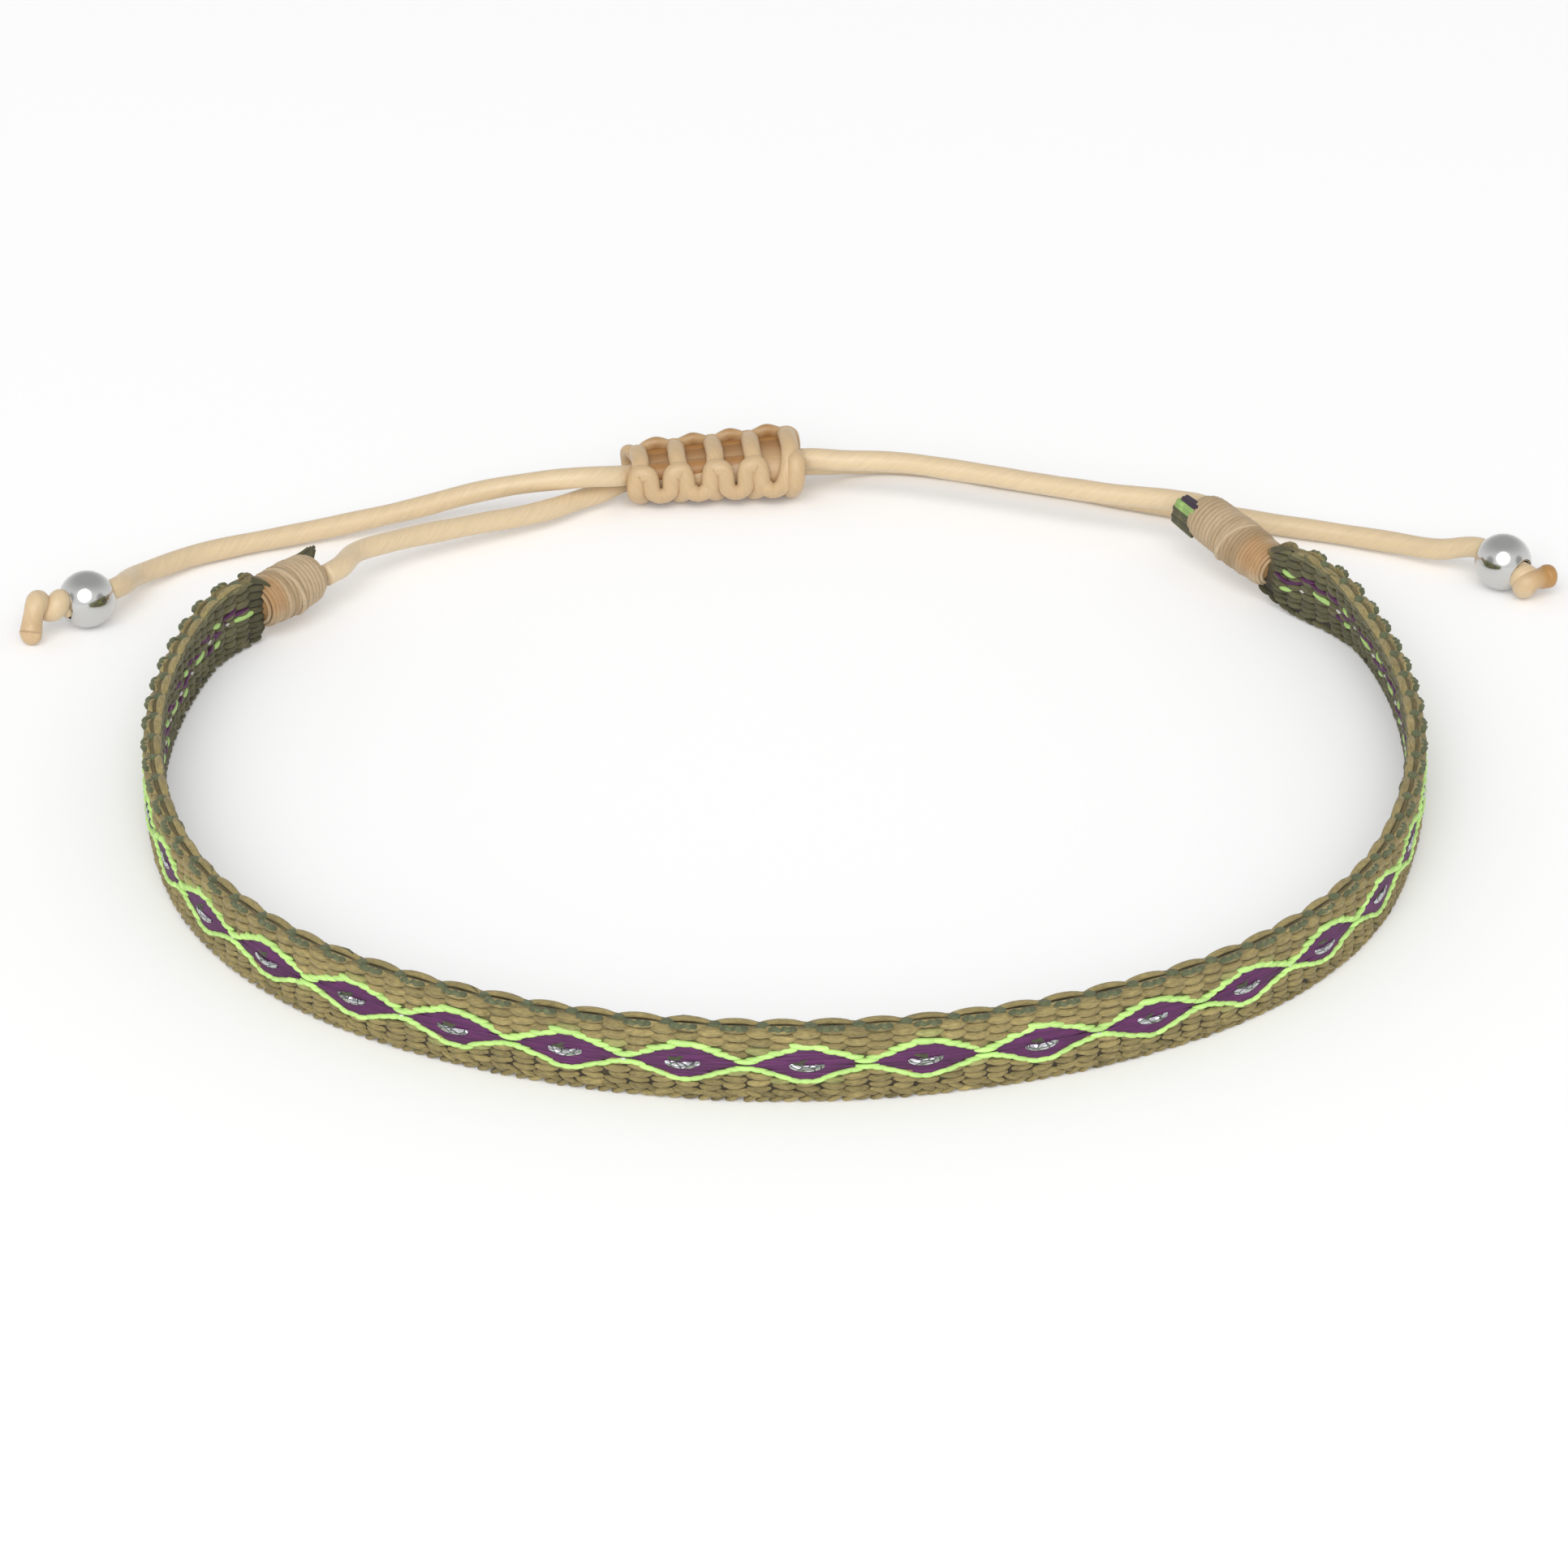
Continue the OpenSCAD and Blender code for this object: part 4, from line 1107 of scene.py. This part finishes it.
stack_colours = [DARK_OLIVE, 0.9 * DARK_OLIVE, 1.1 * DARK_OLIVE, DARK_OLIVE, 0.5 * GREEN, 0.55 * GREEN,
                 seen(56, 42, 56)]
stack_lengths = [0.9, 1.0, 1.0, 0.97, 0.88, 0.78, 0.62]
stacked = [(out, up, out, 0.95 * up, stack_lengths[k] + rng.normal(0, 0.04), 0.17, 0.14,
            stack_colours[k] * rng.normal(1, 0.06))
           for k, up in enumerate(np.linspace(-0.8, 0.72, 7))
           for out in np.array([-0.24, 0.0, 0.24]) * (0.5 if k == 6 else 1)]
add_piece("right_band_end", stub(RIGHT, stacked), cotton)

# %% [markdown]
# ## The sliding knot
# Five half knots are tied with a short piece of the same cord round the two running cords. Half
# of it goes over the running cords each time, the other half under them, and at each side the
# two lock in a loop. So there are two strands. Each is a smooth path through points that are
# given for one half knot by an angle round the knot, a distance and a place along it, and the
# next half knot repeats them on the other side. A body inside the strands and a straight cord
# at the back of it close the gaps between them.

# %% Directions of the knot
KNOT_MIDDLE = np.array([-3.77, 30.64, 1.625])
KNOT_AXIS = unit(np.array([0.9938, 0.1045, 0.038]))
KNOT_SIDE = unit(np.array([0.1045, -0.9945, 0.0]))
KNOT_UP = np.cross(KNOT_SIDE, KNOT_AXIS)
HALF_KNOTS = 5
KNOT_PITCH = 2.02
# How far the two half circles of the knot's section are moved apart, each way
KNOT_FLAT = 0.55
CORE_HALF = 4.62
CORE_SIDES = 28
STRAND_SIDES = 14
print("the knot's upward direction:", KNOT_UP.round(3))


def knot_place(level, height, z):
    """Points at a distance towards the wrist, a height and a place along the knot."""
    return (KNOT_MIDDLE + level[..., None] * KNOT_SIDE + height[..., None] * KNOT_UP
            + z[..., None] * KNOT_AXIS)


def knot_radius(z):
    """Distance of the strands' middle from the two cords. It grows along the knot."""
    return 1.26 + 0.35 * z / 9.2


def knot_points(rows):
    """Points for rows of side, angle from the level in degrees, added radius and place along
    the knot. A side is 1 towards the wrist and -1 away from it."""
    side, angle, extra, z = np.array(rows, float).T
    a = np.radians(angle)
    r = knot_radius(z) + extra
    return knot_place(side * (KNOT_FLAT * np.abs(np.cos(a)) ** 0.5 + r * np.cos(a)), r * np.sin(a), z)


def knot_core():
    """Body inside the strands: two half circles moved apart, of a radius a little under the
    strands', closing to a point at both ends like a quarter circle. The angle runs backwards,
    so that the faces point outwards."""
    z = -CORE_HALF * np.cos(np.pi * np.arange(1, 40) / 40)[:, None]
    a = -2 * np.pi * np.arange(CORE_SIDES) / CORE_SIDES
    round_off = np.sqrt(1 - np.clip((np.abs(z) - 3.4) / 1.25, 0, 1) ** 2)
    r = (knot_radius(z) - 0.26) * round_off
    level = KNOT_FLAT * round_off * np.sign(np.cos(a)) * np.abs(np.cos(a)) ** 0.5 + r * np.cos(a)
    points = knot_place(level, r * np.sin(a), z + 0 * a)
    core = closed_grid(points, points - KNOT_MIDDLE)
    # Painted shade: the body has the shaded cord colour, with a painted lighter side towards the
    # wrist, where the light falls
    lit_near_side = np.clip((core["yarn"] @ KNOT_SIDE)[:, None] / 1.2, 0, 1)
    return tinted(core, CORD_SHADED_IN_KNOT + 0.75 * lit_near_side * (KNOT_CORD - CORD_SHADED_IN_KNOT))


# %% Strands of the knot
HALF_KNOT_PLACES = (np.arange(HALF_KNOTS) - (HALF_KNOTS - 1) / 2) * KNOT_PITCH


def loop_between(side, z):
    """Loop from one half knot to the next: hanging low on the near side, and on the far side a
    bow that stands up, as the photograph shows along the knot's upper outline."""
    angle, ease, bow = (-34, -22, 0.08) if side > 0 else (50, 46, 0.3)
    return [(side, ease, 0.6 * bow, z + 0.3 * KNOT_PITCH), (side, angle, bow, z + 0.5 * KNOT_PITCH),
            (side, ease, 0.6 * bow, z + 0.7 * KNOT_PITCH)]


def over_strand():
    """Over the top at each half knot, then round the side, inside the other strand's loop."""
    rows = [(-1, -20, -0.5, HALF_KNOT_PLACES[0] - 0.1)]
    for k, z in enumerate(HALF_KNOT_PLACES):
        s = (-1) ** k
        rows += [(s, 24, -0.1, z - 0.08 * KNOT_PITCH), (s, 62, 0.0, z), (s, 90, 0.0, z),
                 (-s, 62, 0.0, z), (-s, 24, -0.1, z + 0.08 * KNOT_PITCH)]
        if k < HALF_KNOTS - 1:
            rows += loop_between(-s, z)
    return rows + [(-s, -20, -0.5, z + 0.1)]


def under_strand():
    """Under the bottom at each half knot, then up and over the other strand on both sides."""
    rows = [(-1, 64, -0.5, HALF_KNOT_PLACES[0]), (-1, 40, 0.12, HALF_KNOT_PLACES[0] - 0.4),
            (-1, 5, 0.2, HALF_KNOT_PLACES[0] - 0.42), (-1, -30, 0.1, HALF_KNOT_PLACES[0] - 0.3)]
    for k, z in enumerate(HALF_KNOT_PLACES):
        s = (-1) ** k
        rows += [(-s, -62, 0.0, z), (s, -90, 0.0, z), (s, -62, 0.0, z)]
        if k < HALF_KNOTS - 1:
            rows += [(s, -15, 0.0, z - 0.18 * KNOT_PITCH), (s, 36, 0.18, z - 0.04 * KNOT_PITCH),
                     (s, 32, 0.18, z + 0.14 * KNOT_PITCH)] + loop_between(s, z)
            rows += [(s, 32, 0.18, z + 0.86 * KNOT_PITCH), (s, 36, 0.18, z + 1.04 * KNOT_PITCH),
                     (s, -15, 0.0, z + 1.18 * KNOT_PITCH)]
    return rows + [(s, 0, 0.12, z + 0.2), (s, 40, 0.1, z + 0.25), (s, 60, -0.4, z + 0.1)]


def knot_strand(rows, colour):
    """A strand is painted darker where it bows up on the far side, between the half knots: painted
    shade in the knot's gaps.
    """
    path = smooth_path(knot_points(rows), 0.1)
    from_middle = path - KNOT_MIDDLE
    along = from_middle @ KNOT_AXIS
    guide = from_middle - along[:, None] * KNOT_AXIS
    shape = tube(path, 0.35, 0.48, guide, sides=STRAND_SIDES, twist=1.5)
    place = shape["points"] - KNOT_MIDDLE
    gap = (np.sin(np.pi * (place @ KNOT_AXIS) / KNOT_PITCH) ** 2
           * np.clip((4.1 - np.abs(place @ KNOT_AXIS)) / 0.3, 0, 1))
    far = np.clip(-(place @ KNOT_SIDE) / 1.4, 0, 1)
    deep = (0.85 * gap * far)[:, None]
    return tinted(shape, colour + deep * (CORD_SHADED_IN_KNOT - colour))


# A straight cord at the back of the knot, painted in the cord's shaded colour as the shade in the gaps
far_row = knot_points([(-1, 42, -0.42, z) for z in np.linspace(-4.2, 4.2, 6)])
filler = tube(smooth_path(far_row, 0.4), 0.46, 0.5, KNOT_UP, sides=STRAND_SIDES)
strands = joined([knot_core(), tinted(filler, CORD_SHADED_IN_KNOT), knot_strand(over_strand(), KNOT_CORD),
                  knot_strand(under_strand(), KNOT_CORD * 0.97)])
add_piece("square_knots", strands, waxed, replaces=["sliding_knot"])

# %% [markdown]
# ## Floor and light
# The photograph is a cut-out on white with light from all round. A white floor under a white
# sky and one large soft light from the front come close, and still leave a faint shade where
# the bracelet meets the floor. The sky is dark in two places, for the steel beads to show.

# %% Floor and lights
def add_floor():
    mesh = bpy.data.meshes.new("floor")
    half = 3.0
    mesh.from_pydata([(-half, -half, 0), (half, -half, 0), (half, half, 0), (-half, half, 0)],
                     [], [(0, 1, 2, 3)])
    floor = bpy.data.objects.new("floor", mesh)
    finish = Finish("pale_floor", Roughness=0.9, Base_Color=(0.93, 0.93, 0.93, 1),
                    Emission_Color=(1, 1, 1, 1), Emission_Strength=0.08)
    mesh.materials.append(finish.material)
    bpy.context.scene.collection.objects.link(floor)


def add_light(name, place, size, power):
    """Round soft light that is turned towards the origin."""
    data = bpy.data.lights.new(name, "AREA")
    data.shape = "DISK"
    data.size = size
    data.energy = power
    light = bpy.data.objects.new(name, data)
    light.location = place
    direction = -np.array(place)
    light.rotation_euler = (np.arctan2(np.hypot(*direction[:2]), -direction[2]), 0,
                            np.arctan2(direction[1], direction[0]) - np.pi / 2)
    bpy.context.scene.collection.objects.link(light)


class Sky(Finish):
    """The world's nodes, made with the same methods as a material's."""

    def __init__(self, name):
        self.material = bpy.data.worlds.new(name)
        self.material.use_nodes = True
        self.nodes = self.material.node_tree.nodes
        self.shader = self.nodes["Background"]

    def towards(self, x, y, z, low, high):
        """Soft spot of the sky round a direction, by the cosine of the angle to it."""
        aim = unit(np.array([x, y, z], float))
        return self.node("ShaderNodeVectorMath", {"operation": "DOT_PRODUCT"},
                         {0: self.direction, 1: tuple(aim)}, output=1).between(low, high)


def add_sky():
    """White near the horizon and greyer overhead, with a dark stand on each side in front."""
    sky = Sky("studio")
    sky.direction = sky.node("ShaderNodeTexCoord", output=0)
    sky.set("Color", (1, 1, 1, 1))
    sky.set("Strength", 0.92 - 0.42 * sky.towards(0, 0.45, 1, 0.2, 0.95)
            - 0.5 * sky.towards(1, -0.45, 0.3, 0.93, 0.99)
            - 0.5 * sky.towards(-1, -0.45, 0.3, 0.93, 0.99))
    bpy.context.scene.world = sky.material


add_floor()
add_sky()
bpy.context.scene.view_settings.view_transform = "Standard"
add_light("key", (-0.15, -1.3, 1.1), 1.7, 19)
